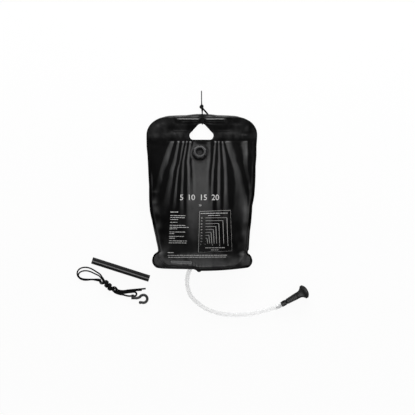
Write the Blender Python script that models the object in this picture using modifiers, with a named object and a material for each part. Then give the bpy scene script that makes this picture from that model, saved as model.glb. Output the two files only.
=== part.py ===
"""A camp shower bag laid out on a flat surface, with its hose, shower head and loose fittings.

Metres, +Z up. The filled bag lies on its back with its handle towards +Y. The hose, the hanging
string, the carrying pipe and the spare cord with its hook lie beside it, all at z = 0.
"""

import math

import bmesh
import bpy
import numpy as np
from mathutils import Matrix, Vector

# Clearances and overruns
GAP = 0.0003
SLIDE_CLEARANCE = 0.0006
OVERRUN = 0.004
WELD_DISTANCE = 1e-6
TURN_MERGE = 1e-5

# Bag outline, seen from above
SHOULDER_HALF_WIDTH = 0.2057
WAIST_HALF_WIDTH = 0.1665
EAR_HALF_WIDTH = 0.187
BOTTOM_HALF_WIDTH = 0.144
SHOULDER_CORNER_WIDTH = 0.075
TOP_EDGE_Y = 0.328
SHOULDER_Y = 0.262
CHAMBER_TOP_Y = 0.234
WAIST_Y = -0.168
EAR_Y = -0.209
BOTTOM_EDGE_Y = -0.246
SIDE_CURVE_POWER = 2.0
BOTTOM_BOW = 0.0085
BOW_START_Y = -0.19
BACK_RISE = 0.0085
BACK_RISE_HALF_WIDTH = 0.1

# Bag sheets and the shape that the water gives them
SHEET = 0.001
WELD_WIDTH = 0.0095
CHAMBER_CORNER = 0.05
CHAMBER_BOTTOM_Y = BOTTOM_EDGE_Y + WELD_WIDTH
CROWN_HEIGHT = 0.102
SEAM_HEIGHT = 0.043
OUTLET_SEAT_HEIGHT = 0.027
HANDLE_EDGE_HEIGHT = 0.0047
FRONT_ROUNDNESS_POWER = 2.3
BACK_ROUNDNESS_POWER = 2.4
BACK_FLAT_SHARE = 0.62
# Shares of the way down the chamber: there, the shares of the seam's height, of the front's rise
# above the seam and of the back's drop below it
CHAMBER_SHARES = (
    (0.000, 0.214, 0.000, 0.00),
    (0.020, 0.256, 0.070, 0.41),
    (0.155, 0.558, 0.224, 1.00),
    (0.240, 0.674, 0.380, 1.00),
    (0.340, 0.790, 0.534, 1.00),
    (0.450, 0.884, 0.707, 1.00),
    (0.570, 0.953, 0.862, 1.00),
    (0.680, 1.000, 0.957, 1.00),
    (0.740, 1.000, 0.990, 1.00),
    (0.780, 1.000, 1.000, 0.96),
    (0.820, 0.988, 0.983, 0.80),
    (0.867, 0.965, 0.922, 0.35),
    (0.910, 0.930, 0.800, 0.32),
    (0.952, 0.895, 0.595, 0.30),
    (0.980, 0.872, 0.353, 0.20),
    (1.000, 0.860, 0.000, 0.00),
)
FILLER_SEAT_SHARES = (0.02, 0.155)
OUTLET_SEAT_SHARES = (0.867, 0.952)
SHARE_ROUNDING = 1e-6
CHAMBER_ROW_SHARES = (
    *(0.0, 0.02, 0.155, 0.2, 0.25, 0.31, 0.38, 0.45, 0.52, 0.59, 0.66, 0.72, 0.77),
    *(0.81, 0.84, 0.867, 0.9, 0.93, 0.952, 0.97, 0.985, 0.994, 1.0),
)
HANDLE_ROW_SHARES = (0.15, 0.3, 0.45, 0.57, 0.68, 0.79, 0.88, 0.95, 1.0)
CHAMBER_COLUMNS = 6

# Handle zone: the hand cut-out and the sleeve that the carrying pipe goes through
CUT_OUT_TOP_Y = 0.3037
CUT_OUT_WIDEST_Y = 0.263
CUT_OUT_BASE_Y = 0.2425
CUT_OUT_TOP_HALF_WIDTH = 0.009
CUT_OUT_HALF_WIDTH = 0.047
CUT_OUT_BASE_HALF_WIDTH = 0.040
CUT_OUT_CORNER = 0.007
SLEEVE_WELD_Y = 0.276
SLEEVE_TOP_Y = 0.3225
SLEEVE_HALF_WIDTH = 0.122
SLEEVE_PUFF = 0.0022

# Filler, measured up from the front sheet
FILLER_X = -0.0065
FILLER_FLANGE_RADIUS = 0.030
FILLER_FLANGE_THICKNESS = 0.0020
NECK_RADIUS = 0.0200
NECK_BORE_RADIUS = 0.0175
NECK_HEIGHT = 0.0135
NECK_DEPTH = 0.0045
GASKET_WIDTH = 0.0048
GASKET_THICKNESS = 0.0016
CAP_RADIUS = 0.0265
CAP_SKIRT_CLEARANCE = 0.0006
CAP_HEIGHT = 0.0185
CAP_PLATE = 0.0025
CAP_RIM_RADIUS = 0.0235
CAP_DISH_RADIUS = 0.0145
CAP_DISH_DEPTH = 0.0075
CAP_ROUNDING = 0.0015
SCALLOP_COUNT = 8
SCALLOP_RADIUS = 0.0042
SCALLOP_DEPTH = 0.0022

# Outlet, measured down from the back sheet
OUTLET_X = -0.011
OUTLET_Y = -0.194
OUTLET_PLATE_RADIUS = 0.018
OUTLET_PLATE_THICKNESS = 0.0020
TONGUE_X = -0.009
TONGUE_Y = -0.2405
TONGUE_RADIUS = 0.010
OUTLET_NECK_RADIUS = 0.0085
OUTLET_NECK_DEPTH = 0.0045
SOCKET_RADIUS = 0.0092
SOCKET_BORE_RADIUS = 0.0062
SOCKET_LENGTH = 0.0037
WASHER_THICKNESS = 0.0012
SPOUT_RADIUS = 0.0054
SPOUT_BORE_RADIUS = 0.0037
SPOUT_STUB = 0.006
ELBOW_COLLAR_RADIUS = 0.0085
ELBOW_COLLAR = 0.0015
ELBOW_BEND_RADIUS = 0.0082
SPOUT_REACH = 0.0145
SPOUT_HEADING = math.radians(-128)

# Hose
HOSE_RADIUS = 0.0082
HOSE_BORE_RADIUS = 0.0062
HOSE_STRAIGHT = 0.016
HOSE_POINT_SPACING = 0.0088
HOSE_ROUTE = (
    (-0.0372, -0.2290, 0.0085),
    (-0.0440, -0.2415, 0.0083),
    (-0.0503, -0.2580, 0.0083),
    (-0.0536, -0.2805, 0.0083),
    (-0.0528, -0.3000, 0.0083),
    (-0.0480, -0.3215, 0.0083),
    (-0.0380, -0.3420, 0.0083),
    (-0.0217, -0.3595, 0.0083),
    (0.0037, -0.3796, 0.0083),
    (0.0318, -0.3942, 0.0083),
    (0.0692, -0.4054, 0.0083),
    (0.1066, -0.4099, 0.0083),
    (0.1440, -0.4103, 0.0083),
    (0.1814, -0.4072, 0.0083),
    (0.2188, -0.3988, 0.0083),
    (0.2500, -0.3905, 0.0083),
    (0.2720, -0.3845, 0.0084),
)

# Shower head, measured along its axis from the end of the hose
HEAD_X = 0.3029
HEAD_Y = -0.3700
HEAD_Z = 0.0113
HEAD_HEADING = math.radians(30)
BARB_RADIUS = 0.0054
BARB_LENGTH = 0.0145
COLLAR_RADIUS = 0.0094
COLLAR_STEP_RADIUS = 0.0087
COLLAR_LENGTH = 0.0190
COLLAR_STEP_LENGTH = 0.0045
VALVE_RADIUS = 0.0060
VALVE_BORE_RADIUS = 0.0036
VALVE_TIP_RADIUS = 0.0042
VALVE_TIP_START = 0.058
VALVE_TIP_END = 0.066
VALVE_PORT_RADIUS = 0.0017
VALVE_PORT_AT = 0.052
SEAL_AT = 0.031
SEAL_WIRE_RADIUS = 0.0007
TIP_SEAL_AT = 0.0628
TIP_SEAL_WIRE_RADIUS = 0.0006
SEAL_SIDE_CLEARANCE = 0.0003
STEM_RADIUS = 0.0088
STEM_END_RADIUS = 0.0108
STEM_END_AT = 0.066
RIB_COUNT = 6
RIB_SPACING = 0.0068
RIB_FIRST_AT = 0.0245
RIB_HEIGHT = 0.0008
RIB_LENGTH = 0.0032
FLARE_END_AT = 0.0885
ROSE_RADIUS = 0.0263
ROSE_RIM_END = 0.0985
ROSE_WALL = 0.0018
THROAT_LENGTH = 0.0065
PLATE_THICKNESS = 0.0018
PLATE_SEAT = 0.0065
PLATE_EDGE_HEIGHT = 0.0035
PLATE_DOME = 0.0065
PLATE_DOME_SHARES = ((0.0, 1.0), (0.35, 0.93), (0.65, 0.72), (0.88, 0.36))
SPRAY_HOLE_RADIUS = 0.0009
SPRAY_RING_SPACING = 0.0056
SPRAY_RINGS = 3
HEAD_TRAVEL = 0.006

# Strip thermometer, stuck on the lower end of the front
STRIP_X = -0.0748
STRIP_Y = -0.2145
STRIP_LENGTH = 0.078
STRIP_DEPTH = 0.0135
STRIP_SLANT = 0.0012
STRIP_THICKNESS = 0.0005
STRIP_RISE = 0.0016

# Carrying pipe
PIPE_X = -0.302
PIPE_Y = -0.2409
PIPE_HEADING = math.radians(-17.7)
PIPE_LENGTH = 0.224
PIPE_RADIUS = 0.0122
PIPE_WALL = 0.0021
PIPE_CHAMFER = 0.0006

# Cord hook
HOOK_X = -0.2173
HOOK_Y = -0.3508
HOOK_BEND_RADIUS = 0.0148
HOOK_ROD_RADIUS = 0.0045
HOOK_BALL_RADIUS = 0.0058
HOOK_BALL_OUT = 0.0033
HOOK_START_ANGLE = math.radians(150)
HOOK_END_ANGLE = math.radians(-112)
HOOK_BALL_ANGLE = math.radians(-130)
SHANK_START_X = -0.2625
SHANK_Y = -0.3476
EYE_START_X = -0.2625
EYE_END_X = -0.2515
EYE_TOP_Y = -0.3345
EYE_HEIGHT = 0.0094
EYE_ROUNDING = 0.0012
EYE_BORE_RADIUS = 0.0025

# Spare cord: loops and runs on the floor, a wrapped knot, and a turn round the hook's eye
CORD_RADIUS = 0.0019
CORD_REST = 0.0020
CORD_LONGEST_STEP = 0.011
CORD_SHORTEST_STEP = 0.0035
CORD_MOST_TURN = math.radians(24)
FINE_STEP = 0.0012
KNOT_X = -0.3490
KNOT_Y = -0.3005
KNOT_HEADING = math.radians(-43)
KNOT_HALF_LENGTH = 0.037
KNOT_RAISED_HALF_LENGTH = 0.0155
KNOT_CORE_OFFSET = 0.0022
KNOT_HALF_WIDTH = 0.0078
KNOT_HALF_HEIGHT = 0.0078
KNOT_TURNS = 2.5
KNOT_TURN_RUN = 0.028
KNOT_TURN_EASE_SHARE = 0.85
KNOT_SPREAD_START = 0.006
KNOT_WRAP_STEP = 0.0052
KNOT_STEPS = 44
# Distances to the left of the knot's axis at its two ends
KNOT_LOOP_SIDES = (0.0068, 0.0018, -0.0044, -0.0118)
KNOT_HOOK_SIDES = (0.0022, -0.0027, 0.0122, 0.0073)
EYE_TURN_X = -0.2505
EYE_TURN_HIGH = (-0.3252, 0.0042)
EYE_TURN_LOW = (-0.3404, 0.0040)
LOOP_POINTS = 24
OUTER_LOOP_REACH = 0.092
OUTER_LOOP_HALF_WIDTH = 0.031
OUTER_LOOP_SHIFT = 0.0
INNER_LOOP_REACH = 0.084
INNER_LOOP_HALF_WIDTH = 0.0195
INNER_LOOP_SHIFT = -0.0010
LOOP_NECK = 0.034
HANK_ROUTE = (
    (-0.3761, -0.2753),
    (-0.3860, -0.2690),
    (-0.3990, -0.2640),
    (-0.4150, -0.2595),
    (-0.4320, -0.2570),
    (-0.4500, -0.2575),
    (-0.4720, -0.2610),
)
LONG_TAIL = (
    (-0.3055, -0.3196),
    (-0.2921, -0.3206),
    (-0.2764, -0.3185),
    (-0.2603, -0.3168),
    (-0.2450, -0.3154),
    (-0.2260, -0.3142),
    (-0.2091, -0.3127),
)
SHORT_TAIL = (
    (-0.3065, -0.3241),
    (-0.2921, -0.3250),
    (-0.2764, -0.3229),
    (-0.2603, -0.3212),
    (-0.2450, -0.3199),
    (-0.2237, -0.3186),
)
UPPER_RUN = (
    (-0.3080, -0.3287, 0.0020),
    (-0.2921, -0.3295, 0.0020),
    (-0.2764, -0.3274, 0.0020),
    (-0.2610, -0.3257, 0.0032),
)
LOWER_RUN = (
    (-0.3095, -0.3333, 0.0020),
    (-0.2940, -0.3354, 0.0020),
    (-0.2816, -0.3388, 0.0022),
    (-0.2720, -0.3403, 0.0034),
    (-0.2620, -0.3404, 0.0040),
)

# Hanging string, tied round the strip above the cut-out with one locked hitch
STRING_RADIUS = 0.0015
STRING_LONGEST_STEP = 0.0055
STRING_ROUTE = (
    (0.0000, 0.4266, 0.0017),
    (0.0001, 0.4120, 0.0017),
    (0.0002, 0.3960, 0.0019),
    (0.0005, 0.3830, 0.0037),
    (0.0009, 0.3720, 0.0055),
    (0.0012, 0.3600, 0.0057),
    (0.0020, 0.3510, 0.0066),
    (0.0028, 0.3380, 0.0105),
    (0.0030, 0.3240, 0.0131),
    (0.0030, 0.3120, 0.0136),
    (0.0030, 0.3032, 0.0134),
    (0.0030, 0.2987, 0.0112),
    (0.0030, 0.2972, 0.0076),
    (0.0030, 0.2986, 0.0040),
    (0.0031, 0.3026, 0.0018),
    (0.0033, 0.3100, 0.0017),
    (0.0043, 0.3270, 0.0017),
    (0.0066, 0.3385, 0.0018),
    (0.0100, 0.3455, 0.0035),
    (0.0119, 0.3512, 0.0055),
    (0.0110, 0.3562, 0.0061),
    (0.0068, 0.3590, 0.0044),
    (0.0012, 0.3603, 0.0019),
    (-0.0034, 0.3630, 0.0020),
    (-0.0056, 0.3680, 0.0046),
    (-0.0038, 0.3734, 0.0078),
    (0.0008, 0.3756, 0.0092),
    (0.0056, 0.3738, 0.0078),
    (0.0086, 0.3690, 0.0050),
    (0.0101, 0.3628, 0.0022),
    (0.0122, 0.3560, 0.0018),
    (0.0152, 0.3500, 0.0017),
    (0.0192, 0.3440, 0.0017),
    (0.0236, 0.3380, 0.0017),
)

TURN_STEPS = 32
HEAD_TURN_STEPS = 28
SMALL_TURN_STEPS = 20
SHARP_ANGLE = math.radians(35)

# Colour, roughness and metallic value of each finish
BLACK_SHEET = ((0.018, 0.018, 0.019, 1.0), 0.34, 0.0)
BLACK_PLASTIC = ((0.014, 0.014, 0.015, 1.0), 0.30, 0.0)
GREY_PLASTIC = ((0.045, 0.045, 0.047, 1.0), 0.38, 0.0)
RUBBER = ((0.020, 0.020, 0.020, 1.0), 0.70, 0.0)
CLEAR_HOSE = ((0.86, 0.87, 0.88, 1.0), 0.18, 0.0)
BLACK_CORD = ((0.016, 0.016, 0.017, 1.0), 0.75, 0.0)
STRIP_FILM = ((0.060, 0.060, 0.062, 1.0), 0.25, 0.0)


def clear_scene():
    """Remove every object, so that the script can be run again."""
    for scene_object in list(bpy.data.objects):
        bpy.data.objects.remove(scene_object, do_unlink=True)


def new_collection(name):
    """Make a collection in the scene."""
    collection = bpy.data.collections.new(name)
    bpy.context.scene.collection.children.link(collection)
    return collection


clear_scene()
PARTS = new_collection("camp_shower_bag")
CUTTERS = new_collection("cutters")
CUTTERS.hide_render = True


def material_named(name, finish):
    """Make a Principled material from a colour, a roughness and a metallic value."""
    colour, roughness, metallic = finish
    material = bpy.data.materials.new(name)
    material.use_nodes = True
    shader = material.node_tree.nodes["Principled BSDF"]
    shader.inputs["Base Color"].default_value = colour
    shader.inputs["Roughness"].default_value = roughness
    shader.inputs["Metallic"].default_value = metallic
    return material


def add_part(name, data, finish, matrix=None):
    """Put a mesh or a curve into the parts as a named object with its own material."""
    part = bpy.data.objects.new(name, data)
    data.materials.clear()
    data.materials.append(material_named(name, finish))
    PARTS.objects.link(part)
    if matrix is not None:
        part.matrix_world = matrix
    return part


def add_guide(name, data, matrix=None):
    """Put a mesh into the cutters, where it is shown as a wire and left out of the model."""
    guide = bpy.data.objects.new(name, data)
    guide.hide_render = True
    guide.display_type = "WIRE"
    CUTTERS.objects.link(guide)
    if matrix is not None:
        guide.matrix_world = matrix
    return guide


def boolean(part, other, operation):
    """Join another shape to a part, or cut it away."""
    modifier = part.modifiers.new(operation.title(), "BOOLEAN")
    modifier.operation = operation
    modifier.object = other
    return modifier


def mesh_of(shape, name):
    """Turn a curve object, or an object with modifiers, into a plain closed mesh in its own space."""
    depsgraph = bpy.context.evaluated_depsgraph_get()
    mesh = bpy.data.meshes.new_from_object(shape.evaluated_get(depsgraph))
    welding = bmesh.new()
    welding.from_mesh(mesh)
    bmesh.ops.remove_doubles(welding, verts=welding.verts, dist=WELD_DISTANCE)
    bmesh.ops.recalc_face_normals(welding, faces=welding.faces)
    welding.to_mesh(mesh)
    welding.free()
    bpy.data.objects.remove(shape, do_unlink=True)
    mesh.name = name
    return mesh


def smooth_shaded(mesh):
    """Shade a mesh smooth, apart from its sharp edges."""
    mesh.shade_smooth()
    mesh.set_sharp_from_angle(angle=SHARP_ANGLE)
    return mesh


def smoothstep(share):
    """Ease a share from 0 to 1."""
    share = min(1.0, max(0.0, share))
    return share * share * (3.0 - 2.0 * share)


def between(low, high, share):
    """Mix two values."""
    return low + (high - low) * share


def arc_points(centre_x, centre_y, radius, start, end, steps):
    """Points along an arc, in the plane."""
    angles = [between(start, end, step / steps) for step in range(steps + 1)]
    return [(centre_x + radius * math.cos(angle), centre_y + radius * math.sin(angle)) for angle in angles]


def rounded_outline(corners, radius, steps=4):
    """An outline with each corner rounded by one radius."""
    points = []
    count = len(corners)
    for index, corner in enumerate(corners):
        here = Vector(corner)
        before = (Vector(corners[index - 1]) - here).normalized()
        after = (Vector(corners[(index + 1) % count]) - here).normalized()
        half_angle = before.angle(after) / 2
        middle = here + (before + after).normalized() * radius / math.sin(half_angle)
        run = radius / math.tan(half_angle)
        first = here + before * run - middle
        last = here + after * run - middle
        turn = math.atan2(first.cross(last), first.dot(last))
        start = math.atan2(first.y, first.x)
        points += arc_points(middle.x, middle.y, radius, start, start + turn, steps)
    return points


def outline_curve(name, outline, thickness):
    """A flat outline as a filled curve of some thickness, centred on its plane."""
    curve = bpy.data.curves.new(name, "CURVE")
    curve.dimensions = "2D"
    curve.fill_mode = "BOTH"
    curve.extrude = thickness / 2
    spline = curve.splines.new("POLY")
    spline.points.add(len(outline) - 1)
    for point, (x, y) in zip(spline.points, outline):
        point.co = (x, y, 0.0, 1.0)
    spline.use_cyclic_u = True
    return curve


def outline_mesh(name, outline, thickness):
    """A flat outline as a closed mesh of some thickness."""
    return smooth_shaded(mesh_of(add_guide(name, outline_curve(name, outline, thickness)), name))


def tube_curve(name, points, radius, resolution):
    """A capped round tube along points."""
    curve = bpy.data.curves.new(name, "CURVE")
    curve.dimensions = "3D"
    curve.bevel_depth = radius
    curve.bevel_resolution = resolution
    curve.use_fill_caps = True
    spline = curve.splines.new("POLY")
    spline.points.add(len(points) - 1)
    for point, place in zip(spline.points, points):
        point.co = (*place, 1.0)
    return curve


def tube_mesh(name, points, radius, resolution):
    """A capped round tube along points, as a closed mesh."""
    shape = add_guide(name, tube_curve(name, points, radius, resolution))
    return smooth_shaded(mesh_of(shape, name))


def cylinder_mesh(name, radius, bottom, top, segments=TURN_STEPS):
    """A cylinder along Z between two heights."""
    mesh = bpy.data.meshes.new(name)
    shape = bmesh.new()
    bmesh.ops.create_cone(
        shape, cap_ends=True, segments=segments, radius1=radius, radius2=radius, depth=top - bottom
    )
    bmesh.ops.translate(shape, verts=shape.verts, vec=(0.0, 0.0, (top + bottom) / 2))
    shape.to_mesh(mesh)
    shape.free()
    return mesh


def turned(name, profile, finish, matrix, steps=TURN_STEPS, closed=True):
    """Turn a profile of radius and height about Z. It runs down its outer side, top to bottom."""
    mesh = bpy.data.meshes.new(name)
    count = len(profile)
    edges = [(index, index + 1) for index in range(count - 1)]
    if closed:
        edges.append((count - 1, 0))
    mesh.from_pydata([(radius, 0.0, height) for radius, height in profile], edges, [])
    shape = add_guide(name, mesh)
    screw = shape.modifiers.new("Turn", "SCREW")
    screw.angle = math.tau
    screw.steps = steps
    screw.render_steps = steps
    screw.use_merge_vertices = True
    screw.merge_threshold = TURN_MERGE
    return add_part(name, smooth_shaded(mesh_of(shape, name)), finish, matrix)


def o_ring(name, radius, wire_radius, matrix):
    """A rubber ring of round section."""
    bpy.ops.mesh.primitive_torus_add(
        major_radius=radius, minor_radius=wire_radius, major_segments=16, minor_segments=6
    )
    ring = bpy.context.object
    mesh = ring.data
    bpy.data.objects.remove(ring, do_unlink=True)
    return add_part(name, smooth_shaded(mesh), RUBBER, matrix)


def smooth_route(points, spacing):
    """Points at an even spacing along a smooth curve through the route's own points."""
    places = np.array(points, float)
    places = np.vstack([2 * places[0] - places[1], places, 2 * places[-1] - places[-2]])
    fine = []
    for before, start, end, after in zip(places, places[1:], places[2:], places[3:]):
        runs = [np.linalg.norm(start - before), np.linalg.norm(end - start), np.linalg.norm(after - end)]
        knots = np.cumsum([0.0, *np.sqrt(runs)])
        for at in np.linspace(knots[1], knots[2], 12, endpoint=False):
            first = ((knots[1] - at) * before + (at - knots[0]) * start) / (knots[1] - knots[0])
            second = ((knots[2] - at) * start + (at - knots[1]) * end) / (knots[2] - knots[1])
            third = ((knots[3] - at) * end + (at - knots[2]) * after) / (knots[3] - knots[2])
            left = ((knots[2] - at) * first + (at - knots[0]) * second) / (knots[2] - knots[0])
            right = ((knots[3] - at) * second + (at - knots[1]) * third) / (knots[3] - knots[1])
            fine.append(((knots[2] - at) * left + (at - knots[1]) * right) / (knots[2] - knots[1]))
    fine.append(places[-2])
    fine = np.array(fine)
    along = np.concatenate([[0.0], np.cumsum(np.linalg.norm(np.diff(fine, axis=0), axis=1))])
    stops = np.linspace(0.0, along[-1], max(2, round(along[-1] / spacing) + 1))
    return np.stack([np.interp(stops, along, fine[:, axis]) for axis in range(3)], axis=1)


def thinned(points, longest_step):
    """Keep fewer of a smooth line's points where it runs straight, and more where it bends."""
    kept = [points[0]]
    run = turn = 0.0
    for before, here, after in zip(points, points[1:], points[2:]):
        run += float(np.linalg.norm(here - before))
        turn += Vector(here - before).angle(Vector(after - here), 0.0)
        if run >= longest_step or (turn >= CORD_MOST_TURN and run >= CORD_SHORTEST_STEP):
            kept.append(here)
            run = turn = 0.0
    return [*kept, points[-1]]


def length_of(points):
    """The length of a line through points."""
    return float(np.linalg.norm(np.diff(np.array(points), axis=0), axis=1).sum())


def least_gap(points, radius):
    """The least clear gap between stretches of one tube that lie apart along its length."""
    line = np.array(points, float)
    along = np.concatenate([[0.0], np.cumsum(np.linalg.norm(np.diff(line, axis=0), axis=1))])
    stops = np.arange(0.0, along[-1], radius / 2)
    fine = np.stack([np.interp(stops, along, line[:, axis]) for axis in range(3)], axis=1)
    apart = int(math.ceil(math.pi * 2 * radius / (radius / 2)))
    least = math.inf
    for index in range(len(fine) - apart):
        rest = fine[index + apart :]
        least = min(least, float(np.linalg.norm(rest - fine[index], axis=1).min()))
    return least - 2 * radius


def outline_half_width(y):
    """Half of the bag's width at a nominal y."""
    if y >= SHOULDER_Y:
        rise = min(1.0, (y - SHOULDER_Y) / (TOP_EDGE_Y - SHOULDER_Y))
        return SHOULDER_HALF_WIDTH - SHOULDER_CORNER_WIDTH * (1.0 - math.sqrt(1.0 - rise**2))
    if y >= WAIST_Y:
        fall = (SHOULDER_Y - y) / (SHOULDER_Y - WAIST_Y)
        return between(SHOULDER_HALF_WIDTH, WAIST_HALF_WIDTH, fall**SIDE_CURVE_POWER)
    if y >= EAR_Y:
        return between(WAIST_HALF_WIDTH, EAR_HALF_WIDTH, smoothstep((WAIST_Y - y) / (WAIST_Y - EAR_Y)))
    fall = min(1.0, (EAR_Y - y) / (EAR_Y - BOTTOM_EDGE_Y))
    return between(BOTTOM_HALF_WIDTH, EAR_HALF_WIDTH, math.sqrt(1.0 - fall**2))


def chamber_half_width(y):
    """Half of the water chamber's width at a nominal y, inside the weld."""
    inside = outline_half_width(max(y, WAIST_Y)) - WELD_WIDTH
    fall = min(1.0, max(0.0, CHAMBER_BOTTOM_Y + CHAMBER_CORNER - y) / CHAMBER_CORNER)
    return inside - CHAMBER_CORNER * (1.0 - math.sqrt(1.0 - fall**2))


def chamber_share(y):
    """How far down the chamber a nominal y is, from 0 at its top weld to 1 at its bottom weld."""
    return (CHAMBER_TOP_Y - y) / (CHAMBER_TOP_Y - CHAMBER_BOTTOM_Y)


def table_value(column, share):
    """One column of the chamber's table, along a smooth curve through its rows."""
    rows = CHAMBER_SHARES
    share = min(1.0, max(0.0, share))
    index = max(row for row in range(len(rows) - 1) if rows[row][0] <= share)
    start, end = rows[index], rows[index + 1]
    span = end[0] - start[0]
    slopes = []
    for at in (index, index + 1):
        low = rows[max(at - 1, 0)]
        high = rows[min(at + 1, len(rows) - 1)]
        slopes.append((high[column] - low[column]) / (high[0] - low[0]) * span)
    t = (share - start[0]) / span
    rise = end[column] - start[column]
    bend = (slopes[0] - rise) * (1.0 - t) - (slopes[1] - rise) * t
    value = start[column] + rise * t + t * (1.0 - t) * bend
    return min(max(start[column], end[column]), max(min(start[column], end[column]), value))


def seam_height(y):
    """The height of the weld's middle at a nominal y."""
    if y >= CHAMBER_TOP_Y:
        top = SEAM_HEIGHT * table_value(1, 0.0)
        rise = (y - CHAMBER_TOP_Y) / (CUT_OUT_TOP_Y - CHAMBER_TOP_Y)
        return between(top, HANDLE_EDGE_HEIGHT, smoothstep(rise))
    return SEAM_HEIGHT * table_value(1, chamber_share(y))


def seat_height(span, share, height_at):
    """A height that runs straight between the two ends of a fitting's seat."""
    start, end = span
    if not start < share < end:
        return height_at(share)
    return between(height_at(start), height_at(end), (share - start) / (end - start))


def bulge_share(across, power):
    """The share of a sheet's rise that is left at a share of the way across to the weld."""
    return (1.0 - min(1.0, across) ** power) ** (1.0 / power)


def front_height(x, y):
    """The height of the front sheet's outer face at a nominal place."""
    edge = seam_height(y) + SHEET + GAP / 2
    if y >= CHAMBER_TOP_Y:
        up = min(1.0, max(0.0, (y - SLEEVE_WELD_Y) / (SLEEVE_TOP_Y - SLEEVE_WELD_Y)))
        across = min(1.0, abs(x) / SLEEVE_HALF_WIDTH)
        return edge + SLEEVE_PUFF * math.sin(math.pi * up) ** 2 * (1.0 - across**4)

    def crown(share):
        seam = SEAM_HEIGHT * table_value(1, share)
        return seam + SHEET + GAP / 2 + (CROWN_HEIGHT - SEAM_HEIGHT) * table_value(2, share)

    top = seat_height(FILLER_SEAT_SHARES, chamber_share(y), crown)
    return edge + (top - edge) * bulge_share(abs(x) / chamber_half_width(y), FRONT_ROUNDNESS_POWER)


def back_height(x, y):
    """The height of the back sheet's outer face at a nominal place."""
    edge = seam_height(y) - SHEET - GAP / 2
    if y >= CHAMBER_TOP_Y:
        return edge
    share = chamber_share(y)
    low = edge * (1.0 - table_value(3, share))
    if OUTLET_SEAT_SHARES[0] < share + SHARE_ROUNDING and share - SHARE_ROUNDING < OUTLET_SEAT_SHARES[1]:
        low = OUTLET_SEAT_HEIGHT
    across = (abs(x) / chamber_half_width(y) - BACK_FLAT_SHARE) / (1.0 - BACK_FLAT_SHARE)
    return edge + (low - edge) * bulge_share(max(0.0, across), BACK_ROUNDNESS_POWER)


def bowed_y(x, y):
    """A nominal y moved up towards the sides, as the bottom edge bows."""
    share = smoothstep((BOW_START_Y - y) / (BOW_START_Y - BOTTOM_EDGE_Y))
    return y + BOTTOM_BOW * share * (x / BOTTOM_HALF_WIDTH) ** 2


def risen_y(x, y):
    """A nominal y of the back sheet, whose top edge stands above the front's in the middle."""
    share = smoothstep((y - SLEEVE_WELD_Y) / (TOP_EDGE_Y - SLEEVE_WELD_Y))
    across = min(1.0, abs(x) / BACK_RISE_HALF_WIDTH)
    return bowed_y(x, y) + BACK_RISE * share * math.cos(math.pi / 2 * across) ** 2


def front_column_shares():
    """Shares of the way across to the weld for the front's columns, closer near the weld."""
    angles = [math.pi / 2 * column / CHAMBER_COLUMNS for column in range(CHAMBER_COLUMNS + 1)]
    return [math.sin(angle) ** (2.0 / FRONT_ROUNDNESS_POWER) for angle in angles]


def back_column_shares():
    """Shares of the way across to the weld for the back's columns, whose first two are flat."""
    curved = CHAMBER_COLUMNS - 2
    angles = [math.pi / 2 * column / curved for column in range(curved + 1)]
    bends = [math.sin(angle) ** (2.0 / BACK_ROUNDNESS_POWER) for angle in angles]
    return [0.0, BACK_FLAT_SHARE / 2] + [between(BACK_FLAT_SHARE, 1.0, bend) for bend in bends]


def row_places():
    """The nominal y of each row of the sheets, from the top edge to the bottom edge."""
    handle = [between(CHAMBER_TOP_Y, TOP_EDGE_Y, share) for share in reversed(HANDLE_ROW_SHARES)]
    chamber = [between(CHAMBER_TOP_Y, CHAMBER_BOTTOM_Y, share) for share in CHAMBER_ROW_SHARES]
    return handle + chamber + [BOTTOM_EDGE_Y]


def sheet_mesh(name, column_shares, height, moved_y, facing_up):
    """Shape a grid into the outer face of one sheet."""
    rows = row_places()
    columns = len(column_shares)
    mesh = bpy.data.meshes.new(name)
    grid = bmesh.new()
    bmesh.ops.create_grid(grid, x_segments=2 * columns, y_segments=len(rows) - 1, size=1.0)
    for vertex in grid.verts:
        column = round(vertex.co.x * columns)
        y = rows[round((1.0 - vertex.co.y) / 2 * (len(rows) - 1))]
        if abs(column) == columns:
            x = outline_half_width(y)
        else:
            x = chamber_half_width(y) * column_shares[abs(column)]
        x = math.copysign(x, column)
        vertex.co = (x, moved_y(x, y), height(x, y))
    if not facing_up:
        bmesh.ops.reverse_faces(grid, faces=grid.faces)
    grid.to_mesh(mesh)
    grid.free()
    return smooth_shaded(mesh)


def solidify(part, thickness):
    """Give a sheet its thickness on its inner side."""
    modifier = part.modifiers.new("Thickness", "SOLIDIFY")
    modifier.thickness = thickness
    modifier.offset = -1.0
    modifier.use_even_offset = True
    return modifier


def filler_frame():
    """The filler's place on the front sheet, with its Z square to the sheet."""
    upper, lower = (between(CHAMBER_TOP_Y, CHAMBER_BOTTOM_Y, share) for share in FILLER_SEAT_SHARES)
    high = Vector((FILLER_X, lower, front_height(0.0, lower)))
    low = Vector((FILLER_X, upper, front_height(0.0, upper)))
    tilt = math.atan2(high.z - low.z, low.y - high.y)
    return Matrix.Translation((high + low) / 2) @ Matrix.Rotation(-tilt, 4, "X")


def outlet_frame():
    """The outlet's place on the back sheet, with its Z pointing up into the bag."""
    return Matrix.Translation((OUTLET_X, OUTLET_Y, OUTLET_SEAT_HEIGHT))


def head_frame():
    """The shower head's place, with its Z along its axis. Its rim rests on the floor."""
    reach = math.hypot(ROSE_RADIUS, ROSE_RIM_END)
    tilt = math.acos(HEAD_Z / reach) - math.atan2(ROSE_RIM_END, ROSE_RADIUS)
    turn = Matrix.Rotation(HEAD_HEADING, 4, "Z") @ Matrix.Rotation(math.pi / 2 - tilt, 4, "Y")
    return Matrix.Translation((HEAD_X, HEAD_Y, HEAD_Z)) @ turn


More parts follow.
